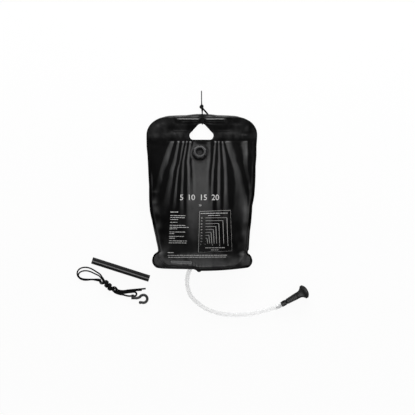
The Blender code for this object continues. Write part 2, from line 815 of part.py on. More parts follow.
def build_sheets():
    """The two welded sheets, with their holes."""
    front_mesh = sheet_mesh("front_panel", front_column_shares(), front_height, bowed_y, True)
    back_mesh = sheet_mesh("back_panel", back_column_shares(), back_height, risen_y, False)
    front = add_part("front_panel", front_mesh, BLACK_SHEET)
    back = add_part("back_panel", back_mesh, BLACK_SHEET)
    solidify(front, SHEET)
    solidify(back, SHEET)
    left = [
        (-CUT_OUT_BASE_HALF_WIDTH, CUT_OUT_BASE_Y),
        (-CUT_OUT_HALF_WIDTH, CUT_OUT_WIDEST_Y),
        (-CUT_OUT_TOP_HALF_WIDTH, CUT_OUT_TOP_Y),
    ]
    corners = left + [(-x, y) for x, y in reversed(left)]
    cut_out = add_guide(
        "cut_out_cutter",
        outline_mesh("cut_out_cutter", rounded_outline(corners, CUT_OUT_CORNER), 2 * SEAM_HEIGHT),
    )
    boolean(front, cut_out, "DIFFERENCE")
    boolean(back, cut_out, "DIFFERENCE")
    neck_hole = cylinder_mesh("neck_hole", NECK_RADIUS + GAP, -CROWN_HEIGHT / 4, CROWN_HEIGHT / 4)
    boolean(front, add_guide("neck_hole", neck_hole, filler_frame()), "DIFFERENCE")
    outlet_hole = cylinder_mesh(
        "outlet_hole", OUTLET_NECK_RADIUS + GAP, -OVERRUN, SHEET + OVERRUN, SMALL_TURN_STEPS
    )
    boolean(back, add_guide("outlet_hole", outlet_hole, outlet_frame()), "DIFFERENCE")


def build_filler():
    """The welded neck, its washer and the screw cap with its finger scallops."""
    frame = filler_frame()
    flange_top = GAP + FILLER_FLANGE_THICKNESS
    turned(
        "filler_neck",
        [
            (NECK_RADIUS, NECK_HEIGHT),
            (NECK_RADIUS, flange_top),
            (FILLER_FLANGE_RADIUS - CAP_ROUNDING, flange_top),
            (FILLER_FLANGE_RADIUS, GAP + FILLER_FLANGE_THICKNESS / 2),
            (FILLER_FLANGE_RADIUS, GAP),
            (NECK_RADIUS, GAP),
            (NECK_RADIUS, -NECK_DEPTH),
            (NECK_BORE_RADIUS, -NECK_DEPTH),
            (NECK_BORE_RADIUS, NECK_HEIGHT),
        ],
        BLACK_PLASTIC,
        frame,
    )
    gasket_bottom = flange_top + GAP
    gasket_top = gasket_bottom + GASKET_THICKNESS
    inner = NECK_RADIUS + GAP
    outer = inner + GASKET_WIDTH
    turned(
        "filler_gasket",
        [(outer, gasket_top), (outer, gasket_bottom), (inner, gasket_bottom), (inner, gasket_top)],
        RUBBER,
        frame,
    )
    skirt = NECK_RADIUS + CAP_SKIRT_CLEARANCE
    cap_bottom = gasket_top + GAP
    dish_floor = CAP_HEIGHT - CAP_DISH_DEPTH
    plate_under = CAP_HEIGHT - CAP_PLATE
    plug_radius = NECK_BORE_RADIUS - CAP_SKIRT_CLEARANCE
    cap = turned(
        "filler_cap",
        [
            (0.0, dish_floor),
            (CAP_DISH_RADIUS - 2 * CAP_ROUNDING, dish_floor + CAP_ROUNDING),
            (CAP_DISH_RADIUS, CAP_HEIGHT - CAP_ROUNDING),
            (CAP_DISH_RADIUS + CAP_ROUNDING, CAP_HEIGHT),
            (CAP_RIM_RADIUS - CAP_ROUNDING, CAP_HEIGHT),
            (CAP_RIM_RADIUS, CAP_HEIGHT - CAP_ROUNDING),
            (CAP_RADIUS, CAP_HEIGHT - 3 * CAP_ROUNDING),
            (CAP_RADIUS, cap_bottom),
            (skirt, cap_bottom),
            (skirt, plate_under),
            (plug_radius, plate_under),
            (plug_radius, dish_floor - CAP_PLATE),
            (0.0, dish_floor - CAP_PLATE),
        ],
        BLACK_PLASTIC,
        frame,
        closed=False,
    )
    ring = bmesh.new()
    for index in range(SCALLOP_COUNT):
        angle = math.tau * index / SCALLOP_COUNT
        reach = CAP_RADIUS + SCALLOP_RADIUS - SCALLOP_DEPTH
        added = bmesh.ops.create_cone(
            ring,
            cap_ends=True,
            segments=12,
            radius1=SCALLOP_RADIUS,
            radius2=SCALLOP_RADIUS,
            depth=2 * CAP_HEIGHT,
        )
        spot = (reach * math.cos(angle), reach * math.sin(angle), CAP_HEIGHT + cap_bottom + OVERRUN)
        bmesh.ops.translate(ring, verts=added["verts"], vec=spot)
    scallops = bpy.data.meshes.new("scallops")
    ring.to_mesh(scallops)
    ring.free()
    boolean(cap, add_guide("scallops", scallops, frame), "DIFFERENCE")


def tongue_outline():
    """The outlet plate's outline: a round plate drawn out into a rounded tongue."""
    run_x = TONGUE_X - OUTLET_X
    run_y = TONGUE_Y - OUTLET_Y
    heading = math.atan2(run_y, run_x)
    spread = math.acos((OUTLET_PLATE_RADIUS - TONGUE_RADIUS) / math.hypot(run_x, run_y))
    plate = arc_points(0.0, 0.0, OUTLET_PLATE_RADIUS, heading + spread, heading + math.tau - spread, 24)
    tip = arc_points(run_x, run_y, TONGUE_RADIUS, heading - spread, heading + spread, 10)
    return plate + tip


def elbow_route():
    """The elbow's middle line: down out of the socket, round the bend and out to the hose."""
    washer_bottom = -3 * GAP - OUTLET_PLATE_THICKNESS - SOCKET_LENGTH - WASHER_THICKNESS
    collar_bottom = washer_bottom - ELBOW_COLLAR
    across = Vector((math.cos(SPOUT_HEADING), math.sin(SPOUT_HEADING), 0.0))
    top = collar_bottom + ELBOW_COLLAR + SPOUT_STUB
    points = [Vector((0.0, 0.0, top)), Vector((0.0, 0.0, collar_bottom))]
    for step in range(1, 7):
        angle = math.pi / 2 * step / 6
        out = across * ELBOW_BEND_RADIUS * (1.0 - math.cos(angle))
        points.append(out + Vector((0.0, 0.0, collar_bottom - ELBOW_BEND_RADIUS * math.sin(angle))))
    points.append(points[-1] + across * (2 * ELBOW_COLLAR + GAP + SPOUT_REACH))
    return points, collar_bottom


def hose_start():
    """Where the hose's first end is, and the way it runs from there."""
    points, _ = elbow_route()
    across = Vector((math.cos(SPOUT_HEADING), math.sin(SPOUT_HEADING), 0.0))
    return outlet_frame() @ (points[-1] - across * SPOUT_REACH), across


def build_outlet():
    """The outlet plate with its socket, the washer and the elbow."""
    frame = outlet_frame()
    plate_bottom = -GAP - OUTLET_PLATE_THICKNESS
    plate = outline_mesh("outlet_flange", tongue_outline(), OUTLET_PLATE_THICKNESS)
    middle = Matrix.Translation((0.0, 0.0, (plate_bottom - GAP) / 2))
    flange = add_part("outlet_flange", plate, BLACK_PLASTIC, frame @ middle)
    socket_bottom = plate_bottom - SOCKET_LENGTH
    socket = cylinder_mesh("socket", SOCKET_RADIUS, socket_bottom, -GAP - OUTLET_PLATE_THICKNESS / 2)
    neck = cylinder_mesh("neck", OUTLET_NECK_RADIUS, -OUTLET_PLATE_THICKNESS, OUTLET_NECK_DEPTH)
    bore_top = OUTLET_NECK_DEPTH + OVERRUN
    bore = cylinder_mesh("socket_bore", SOCKET_BORE_RADIUS, socket_bottom - OVERRUN, bore_top)
    boolean(flange, add_guide("socket", socket, frame), "UNION")
    boolean(flange, add_guide("neck", neck, frame), "UNION")
    boolean(flange, add_guide("socket_bore", bore, frame), "DIFFERENCE")
    washer_top = socket_bottom - GAP
    washer_bottom = washer_top - WASHER_THICKNESS
    turned(
        "outlet_washer",
        [
            (ELBOW_COLLAR_RADIUS, washer_top),
            (ELBOW_COLLAR_RADIUS, washer_bottom),
            (SPOUT_RADIUS + GAP, washer_bottom),
            (SPOUT_RADIUS + GAP, washer_top),
        ],
        RUBBER,
        frame,
        SMALL_TURN_STEPS,
    )
    points, collar_bottom = elbow_route()
    elbow = add_part("outlet_elbow", tube_mesh("outlet_elbow", points, SPOUT_RADIUS, 4), BLACK_PLASTIC, frame)
    top_collar = cylinder_mesh(
        "top_collar", ELBOW_COLLAR_RADIUS, collar_bottom, collar_bottom + ELBOW_COLLAR, SMALL_TURN_STEPS
    )
    start, across = hose_start()
    facing = across.to_track_quat("Z", "Y").to_matrix().to_4x4()
    hose_collar = cylinder_mesh(
        "hose_collar", ELBOW_COLLAR_RADIUS, -GAP - ELBOW_COLLAR, -GAP, SMALL_TURN_STEPS
    )
    inside = [points[0] + Vector((0.0, 0.0, OVERRUN))] + points[1:-1] + [points[-1] + across * OVERRUN]
    elbow_bore = tube_mesh("elbow_bore", inside, SPOUT_BORE_RADIUS, 4)
    boolean(elbow, add_guide("top_collar", top_collar, frame), "UNION")
    boolean(elbow, add_guide("hose_collar", hose_collar, Matrix.Translation(start) @ facing), "UNION")
    boolean(elbow, add_guide("elbow_bore", elbow_bore, frame), "DIFFERENCE")


def hose_points():
    """The hose's middle line, straight where a fitting goes into it."""
    start, across = hose_start()
    frame = head_frame()
    along = frame.to_3x3() @ Vector((0.0, 0.0, 1.0))
    end = frame.translation - along * GAP
    first_bend = start + across * HOSE_STRAIGHT
    last_bend = end - along * HOSE_STRAIGHT
    route = smooth_route([first_bend, *HOSE_ROUTE, last_bend], HOSE_POINT_SPACING)
    return [tuple(start), *map(tuple, route), tuple(end)]


def build_hose():
    """The clear hose, bored right through."""
    points = hose_points()
    print(f"hose is {length_of(points):.3f} m long")
    hose = add_part("hose", tube_mesh("hose", points, HOSE_RADIUS, 2), CLEAR_HOSE)
    first, second = (Vector(point) for point in points[:2])
    before, last = (Vector(point) for point in points[-2:])
    longer = [first + (first - second).normalized() * OVERRUN, *points[1:-1]]
    longer.append(last + (last - before).normalized() * OVERRUN)
    boolean(hose, add_guide("hose_bore", tube_mesh("hose_bore", longer, HOSE_BORE_RADIUS, 2)), "DIFFERENCE")


def build_connector():
    """The collar on the hose's end, with the valve tube that the head slides on, and its two seals."""
    frame = head_frame()
    groove_half = SEAL_WIRE_RADIUS + SEAL_SIDE_CLEARANCE
    groove = VALVE_RADIUS - SEAL_WIRE_RADIUS * 2
    tip_groove_half = TIP_SEAL_WIRE_RADIUS + SEAL_SIDE_CLEARANCE
    tip_groove = VALVE_TIP_RADIUS - TIP_SEAL_WIRE_RADIUS * 2
    step_at = COLLAR_LENGTH - COLLAR_STEP_LENGTH
    connector = turned(
        "hose_connector",
        [
            (0.0, VALVE_TIP_END),
            (VALVE_TIP_RADIUS - GAP, VALVE_TIP_END),
            (VALVE_TIP_RADIUS, TIP_SEAL_AT + tip_groove_half),
            (tip_groove, TIP_SEAL_AT + tip_groove_half),
            (tip_groove, TIP_SEAL_AT - tip_groove_half),
            (VALVE_TIP_RADIUS, TIP_SEAL_AT - tip_groove_half),
            (VALVE_TIP_RADIUS, VALVE_TIP_START),
            (VALVE_RADIUS, VALVE_TIP_START),
            (VALVE_RADIUS, SEAL_AT + groove_half),
            (groove, SEAL_AT + groove_half),
            (groove, SEAL_AT - groove_half),
            (VALVE_RADIUS, SEAL_AT - groove_half),
            (VALVE_RADIUS, COLLAR_LENGTH),
            (COLLAR_STEP_RADIUS, COLLAR_LENGTH),
            (COLLAR_STEP_RADIUS, step_at),
            (COLLAR_RADIUS, step_at),
            (COLLAR_RADIUS, 0.0),
            (BARB_RADIUS, 0.0),
            (BARB_RADIUS, -BARB_LENGTH),
            (VALVE_BORE_RADIUS, -BARB_LENGTH),
            (VALVE_BORE_RADIUS, VALVE_TIP_START - VALVE_BORE_RADIUS / 2),
            (0.0, VALVE_TIP_START),
        ],
        BLACK_PLASTIC,
        frame,
        SMALL_TURN_STEPS,
        closed=False,
    )
    port = cylinder_mesh("valve_port", VALVE_PORT_RADIUS, -2 * VALVE_RADIUS, 2 * VALVE_RADIUS, 12)
    across = frame @ Matrix.Translation((0.0, 0.0, VALVE_PORT_AT)) @ Matrix.Rotation(math.pi / 2, 4, "X")
    boolean(connector, add_guide("valve_port", port, across), "DIFFERENCE")
    seal_radius = groove + GAP + SEAL_WIRE_RADIUS
    tip_seal_radius = tip_groove + GAP + TIP_SEAL_WIRE_RADIUS
    o_ring("connector_seal", seal_radius, SEAL_WIRE_RADIUS, frame @ Matrix.Translation((0.0, 0.0, SEAL_AT)))
    o_ring(
        "tip_seal", tip_seal_radius, TIP_SEAL_WIRE_RADIUS, frame @ Matrix.Translation((0.0, 0.0, TIP_SEAL_AT))
    )


def rib_profile():
    """The stem's grip rings, from the flare down to the collar."""
    points = []
    for index in reversed(range(RIB_COUNT)):
        middle = RIB_FIRST_AT + RIB_SPACING * index
        for at, out in ((0.5, 0.0), (0.25, 1.0), (-0.25, 1.0), (-0.5, 0.0)):
            height = middle + at * RIB_LENGTH
            share = (height - COLLAR_LENGTH) / (STEM_END_AT - COLLAR_LENGTH)
            points.append((between(STEM_RADIUS, STEM_END_RADIUS, share) + out * RIB_HEIGHT, height))
    return points


def build_head():
    """The trumpet-shaped head that slides on the valve tube, and its drilled face."""
    frame = head_frame()
    flare = []
    for step in range(9):
        share = 1.0 - step / 8
        height = between(STEM_END_AT, FLARE_END_AT, share)
        flare.append((between(STEM_END_RADIUS, ROSE_RADIUS - ROSE_WALL / 2, share**2.6), height))
    throat = VALVE_TIP_RADIUS + SLIDE_CLEARANCE
    bore = VALVE_RADIUS + SLIDE_CLEARANCE
    inner_flare = [(max(radius - ROSE_WALL, throat), height) for radius, height in flare]
    chamber_end = VALVE_TIP_END + GAP - HEAD_TRAVEL
    throat_end = chamber_end + THROAT_LENGTH
    stem_start = COLLAR_LENGTH + GAP
    seat_at = ROSE_RIM_END - PLATE_SEAT
    seat_radius = ROSE_RADIUS - ROSE_WALL
    inner = [(radius, height) for radius, height in reversed(inner_flare) if height > throat_end + GAP]
    turned(
        "shower_head",
        [
            (ROSE_RADIUS, ROSE_RIM_END),
            (ROSE_RADIUS, FLARE_END_AT + ROSE_WALL),
            *flare,
            *rib_profile(),
            (STEM_RADIUS, stem_start),
            (bore, stem_start),
            (bore, chamber_end),
            (throat, chamber_end),
            (throat, throat_end),
            *inner,
            (seat_radius - ROSE_WALL, seat_at),
            (seat_radius, seat_at),
            (seat_radius, ROSE_RIM_END),
        ],
        BLACK_PLASTIC,
        frame,
        HEAD_TURN_STEPS,
    )
    plate_radius = seat_radius - GAP
    plate_bottom = seat_at + GAP
    edge_top = plate_bottom + PLATE_EDGE_HEIGHT
    outside = [(plate_radius * out, edge_top + PLATE_DOME * up) for out, up in PLATE_DOME_SHARES]
    inside_radius = plate_radius - PLATE_THICKNESS
    inside = [
        (inside_radius * out, edge_top - PLATE_THICKNESS + PLATE_DOME * up)
        for out, up in reversed(PLATE_DOME_SHARES)
    ]
    plate = turned(
        "spray_plate",
        [
            *outside,
            (plate_radius, edge_top),
            (plate_radius, plate_bottom),
            (inside_radius, plate_bottom),
            *inside,
        ],
        BLACK_PLASTIC,
        frame,
        HEAD_TURN_STEPS,
        closed=False,
    )
    drills = bmesh.new()
    for ring in range(SPRAY_RINGS + 1):
        count = max(1, 6 * ring)
        for index in range(count):
            angle = math.tau * index / count
            radius = ring * SPRAY_RING_SPACING
            added = bmesh.ops.create_cone(
                drills,
                cap_ends=True,
                segments=6,
                radius1=SPRAY_HOLE_RADIUS,
                radius2=SPRAY_HOLE_RADIUS,
                depth=2 * (PLATE_DOME + PLATE_EDGE_HEIGHT + OVERRUN),
            )
            spot = (radius * math.cos(angle), radius * math.sin(angle), edge_top)
            bmesh.ops.translate(drills, verts=added["verts"], vec=spot)
    holes = bpy.data.meshes.new("spray_holes")
    drills.to_mesh(holes)
    drills.free()
    boolean(plate, add_guide("spray_holes", holes, frame), "DIFFERENCE")


def build_strip():
    """The strip thermometer, which follows the front sheet."""
    mesh = bpy.data.meshes.new("temperature_strip")
    grid = bmesh.new()
    bmesh.ops.create_grid(grid, x_segments=12, y_segments=3, size=1.0)
    for vertex in grid.verts:
        x = STRIP_X + vertex.co.x * STRIP_LENGTH / 2
        y = STRIP_Y + vertex.co.y * STRIP_DEPTH / 2 - vertex.co.x * STRIP_SLANT
        vertex.co = (x, bowed_y(x, y), front_height(x, y) + STRIP_RISE)
    grid.to_mesh(mesh)
    grid.free()
    solidify(add_part("temperature_strip", mesh, STRIP_FILM), STRIP_THICKNESS)


def build_pipe():
    """The loose carrying pipe, an open tube with eased ends."""
    lying = Matrix.Rotation(PIPE_HEADING, 4, "Z") @ Matrix.Rotation(math.pi / 2, 4, "Y")
    half = PIPE_LENGTH / 2
    bore = PIPE_RADIUS - PIPE_WALL
    turned(
        "handle_pipe",
        [
            (PIPE_RADIUS - PIPE_CHAMFER, half),
            (PIPE_RADIUS, half - PIPE_CHAMFER),
            (PIPE_RADIUS, PIPE_CHAMFER - half),
            (PIPE_RADIUS - PIPE_CHAMFER, -half),
            (bore, -half),
            (bore, half),
        ],
        BLACK_PLASTIC,
        Matrix.Translation((PIPE_X, PIPE_Y, PIPE_RADIUS)) @ lying,
    )


def build_hook():
    """The moulded hook: a bent rod with a ball tip, and an eye that the cord goes through."""
    height = HOOK_BALL_RADIUS
    bend = arc_points(HOOK_X, HOOK_Y, HOOK_BEND_RADIUS, HOOK_START_ANGLE, HOOK_END_ANGLE, 16)
    ball_reach = HOOK_BEND_RADIUS + HOOK_BALL_OUT
    tip = Vector((HOOK_X, HOOK_Y, height)) + Matrix.Rotation(HOOK_BALL_ANGLE, 3, "Z") @ Vector(
        (ball_reach, 0.0, 0.0)
    )
    shank_end = Vector((bend[0][0] - 2 * HOOK_ROD_RADIUS, SHANK_Y, height))
    route = [
        Vector((SHANK_START_X, SHANK_Y, height)),
        (Vector((SHANK_START_X, SHANK_Y, height)) + shank_end) / 2,
        shank_end,
        *(Vector((x, y, height)) for x, y in bend),
        tip,
    ]
    rod = tube_mesh("cord_hook", smooth_route(route, HOOK_ROD_RADIUS), HOOK_ROD_RADIUS, 2)
    hook = add_part("cord_hook", rod, GREY_PLASTIC)
    ball = bpy.data.meshes.new("hook_ball")
    shape = bmesh.new()
    bmesh.ops.create_uvsphere(shape, u_segments=14, v_segments=8, radius=HOOK_BALL_RADIUS)
    shape.to_mesh(ball)
    shape.free()
    boolean(hook, add_guide("hook_ball", ball, Matrix.Translation(tip)), "UNION")
    eye = bpy.data.meshes.new("hook_eye")
    shape = bmesh.new()
    bmesh.ops.create_cube(shape, size=1.0)
    size = (EYE_END_X - EYE_START_X, EYE_TOP_Y - SHANK_Y, EYE_HEIGHT)
    bmesh.ops.scale(shape, vec=size, verts=shape.verts)
    bmesh.ops.bevel(
        shape, geom=shape.edges, offset=EYE_ROUNDING, segments=2, profile=0.5, affect="EDGES"
    )
    shape.to_mesh(eye)
    shape.free()
    middle = Matrix.Translation(
        ((EYE_START_X + EYE_END_X) / 2, (EYE_TOP_Y + SHANK_Y) / 2, EYE_HEIGHT / 2)
    )
    boolean(hook, add_guide("hook_eye", eye, middle), "UNION")
    run = EYE_END_X - EYE_START_X + 2 * OVERRUN
    bore = cylinder_mesh("eye_bore", EYE_BORE_RADIUS, -run / 2, run / 2, 12)
    eye_y, eye_z = EYE_TURN_LOW
    through = Matrix.Translation(((EYE_START_X + EYE_END_X) / 2, eye_y, eye_z)) @ Matrix.Rotation(
        math.pi / 2, 4, "Y"
    )
    boolean(hook, add_guide("eye_bore", bore, through), "DIFFERENCE")


def knot_place(along, aside, up):
    """A place in the knot, from distances along its axis and to its left, and a height."""
    forward = Vector((math.cos(KNOT_HEADING), math.sin(KNOT_HEADING), 0.0))
    left = Vector((-forward.y, forward.x, 0.0))
    return Vector((KNOT_X, KNOT_Y, up)) + forward * along + left * aside


def knot_strand(index):
    """One strand through the knot, from the loops to the hook: two in its core, then two wound round them."""
    wound = index - 2
    core_side = KNOT_CORE_OFFSET * (1 - 2 * index)
    lead = KNOT_WRAP_STEP * (wound - 0.5)
    points = []
    for step in range(KNOT_STEPS + 1):
        along = between(-KNOT_HALF_LENGTH, KNOT_HALF_LENGTH, step / KNOT_STEPS)
        sides = KNOT_HOOK_SIDES if along > 0.0 else KNOT_LOOP_SIDES
        reach = (abs(along) - KNOT_RAISED_HALF_LENGTH) / (KNOT_HALF_LENGTH - KNOT_RAISED_HALF_LENGTH)
        raised = KNOT_HALF_HEIGHT * (1.0 - smoothstep(reach))
        if wound < 0:
            aside = between(core_side, sides[index], smoothstep(reach))
            points.append(knot_place(along, aside, CORD_REST + raised))
            continue
        turned_share = min(1.0, max(0.0, (along - lead + KNOT_TURN_RUN) / (2 * KNOT_TURN_RUN)))
        eased = between(turned_share, smoothstep(turned_share), KNOT_TURN_EASE_SHARE)
        angle = math.pi + math.tau * KNOT_TURNS * eased
        outside = (wound == 0) == (along > 0.0)
        spread_share = (abs(along) - KNOT_SPREAD_START) / (KNOT_TURN_RUN - KNOT_SPREAD_START)
        spread = KNOT_WRAP_STEP * smoothstep(spread_share) if outside else 0.0
        half_width = KNOT_HALF_WIDTH + spread
        aside = between(half_width * math.cos(angle), sides[index], smoothstep(2.0 * reach - 1.0))
        points.append(knot_place(along, aside, CORD_REST + raised * (1.0 + math.sin(angle))))
    return points


def eye_turn():
    """The half turn round the hook's eye, from its high side to its low side."""
    high = Vector((EYE_TURN_X, *EYE_TURN_HIGH))
    low = Vector((EYE_TURN_X, *EYE_TURN_LOW))
    middle = (high + low) / 2
    out = Vector(((high - low).length / 2, 0.0, 0.0))
    points = []
    for step in range(9):
        angle = math.pi / 2 - math.pi * step / 8
        points.append(middle + out * math.cos(angle) + (high - middle) * math.sin(angle))
    return points


def hank_loop(reach, half_width, shift, start_side, end_side):
    """One loop of the hank: a drop shape along its route, from the knot round the far end and back."""
    route = smooth_route([(x, y, CORD_REST) for x, y in HANK_ROUTE], FINE_STEP)
    points = []
    for step in range(LOOP_POINTS + 1):
        angle = math.pi * (1.0 - 2.0 * step / LOOP_POINTS)
        along = reach * (1.0 + math.cos(angle)) / 2
        open_share = smoothstep(along / LOOP_NECK)
        side = start_side if angle > 0.0 else end_side
        aside = between(side, shift, open_share) + half_width * math.sin(angle) * math.cos(angle / 2)
        index = min(len(route) - 2, int(along / FINE_STEP))
        onward = Vector(route[index + 1] - route[index]).normalized()
        spot = Vector(route[index]) + onward * (along - index * FINE_STEP)
        points.append(spot + Vector((onward.y, -onward.x, 0.0)) * aside)
    return points


def cord_points():
    """The spare cord's middle line, from the long tail's end to the short tail's end."""
    outer_core, inner_core, inner_wrap, outer_wrap = (knot_strand(index) for index in range(4))
    outer_side, inner_side, inner_return_side, outer_return_side = KNOT_LOOP_SIDES
    outer_loop = hank_loop(
        OUTER_LOOP_REACH, OUTER_LOOP_HALF_WIDTH, OUTER_LOOP_SHIFT, outer_side, outer_return_side
    )
    inner_loop = hank_loop(
        INNER_LOOP_REACH, INNER_LOOP_HALF_WIDTH, INNER_LOOP_SHIFT, inner_side, inner_return_side
    )
    route = [
        *(Vector((x, y, CORD_REST)) for x, y in reversed(LONG_TAIL)),
        *reversed(inner_wrap),
        *reversed(inner_loop[1:-1]),
        *inner_core,
        *(Vector(point) for point in LOWER_RUN),
        *reversed(eye_turn()),
        *(Vector(point) for point in reversed(UPPER_RUN)),
        *reversed(outer_core),
        *outer_loop[1:-1],
        *outer_wrap,
        *(Vector((x, y, CORD_REST)) for x, y in SHORT_TAIL),
    ]
    return thinned(smooth_route(route, FINE_STEP), CORD_LONGEST_STEP)


def string_points():
    """The hanging string's middle line, from its cut top end to the end of its tail."""
    return thinned(smooth_route(STRING_ROUTE, FINE_STEP), STRING_LONGEST_STEP)


def build_cord(name, points, radius):
    """One unbroken cord through points, whose length and least gap to itself are printed."""
    gap = least_gap(points, radius)
    print(f"{name} is {length_of(points):.3f} m long, {gap * 1000:.2f} mm clear of itself")
    add_part(name, tube_curve(name, [tuple(point) for point in points], radius, 1), BLACK_CORD)


def build_cords():
    """The spare cord and the hanging string."""
    build_cord("hook_cord", cord_points(), CORD_RADIUS)
    build_cord("hanging_string", string_points(), STRING_RADIUS)


build_sheets()
build_filler()
build_outlet()
build_hose()
build_connector()
build_head()
build_strip()
build_pipe()
build_hook()
build_cords()
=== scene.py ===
"""The looks of a camp shower bag that lies flat, with its hose, shower head and loose fittings.

Metres, +Z up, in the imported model's frame. The camera looks straight down on the whole set.
"""

import logging
import math
from collections.abc import Callable, Iterable, Mapping, Sequence
from dataclasses import dataclass
from enum import Enum
from typing import Any

import bmesh
import bpy
import numpy as np
from mathutils import Matrix, Vector, noise
from mathutils.bvhtree import BVHTree


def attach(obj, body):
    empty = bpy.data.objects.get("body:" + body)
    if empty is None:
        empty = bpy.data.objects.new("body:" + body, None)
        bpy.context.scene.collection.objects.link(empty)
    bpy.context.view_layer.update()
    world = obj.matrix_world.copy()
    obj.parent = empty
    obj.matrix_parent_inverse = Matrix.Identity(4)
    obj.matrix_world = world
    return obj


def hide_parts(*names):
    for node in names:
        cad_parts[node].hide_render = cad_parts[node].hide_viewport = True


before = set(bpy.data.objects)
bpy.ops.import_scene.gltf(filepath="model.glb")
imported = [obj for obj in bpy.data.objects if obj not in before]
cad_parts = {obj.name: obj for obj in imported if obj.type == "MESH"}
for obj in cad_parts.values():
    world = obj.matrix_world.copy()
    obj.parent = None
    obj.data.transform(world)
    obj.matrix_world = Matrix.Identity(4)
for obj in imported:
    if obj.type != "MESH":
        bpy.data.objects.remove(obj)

LOG = logging.getLogger("camp_shower_bag")
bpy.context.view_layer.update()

Point = tuple[float, float, float]
Flat = tuple[float, float]
Colour = tuple[float, float, float, float]
Mark = tuple[list[Vector], list[tuple[int, ...]]]


class Body(Enum):
    """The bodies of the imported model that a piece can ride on."""

    BAG = "bag"
    CAP_CARRIER = "cap_carrier"
    CAP = "cap"
    HEAD = "head"
    PIPE = "pipe"
    HOOK = "hook"


class Panel(Enum):
    """The two welded sheets of the bag."""

    FRONT = "front_panel"
    BACK = "back_panel"


# Shader bench


class Signal:
    """A value in a material that can be reckoned with as a number can."""

    def __init__(self, bench: "Bench", socket: bpy.types.NodeSocket) -> None:
        """Keep the bench and the socket that the value comes from."""
        self.bench = bench
        self.socket = socket

    def __add__(self, other: "Term") -> "Signal":
        """Add a number or a signal."""
        return self.bench.maths("ADD", self, other)

    def __radd__(self, other: "Term") -> "Signal":
        """Add to a number."""
        return self.bench.maths("ADD", other, self)

    def __sub__(self, other: "Term") -> "Signal":
        """Take a number or a signal away."""
        return self.bench.maths("SUBTRACT", self, other)

    def __rsub__(self, other: "Term") -> "Signal":
        """Take this from a number."""
        return self.bench.maths("SUBTRACT", other, self)

    def __mul__(self, other: "Term") -> "Signal":
        """Multiply by a number or a signal."""
        return self.bench.maths("MULTIPLY", self, other)

    def __rmul__(self, other: "Term") -> "Signal":
        """Multiply a number."""
        return self.bench.maths("MULTIPLY", other, self)

    def share(self, low: float, high: float) -> "Signal":
        """Ease from 0 to 1 between two values.

        Args:
            low: The value that gives 0.
            high: The value that gives 1.

        Returns:
            The eased share.
        """
        return self.bench.node(
            "ShaderNodeMapRange", {"interpolation_type": "SMOOTHSTEP"},
            {"Value": self, "From Min": low, "From Max": high},
        )


Term = Signal | float | int


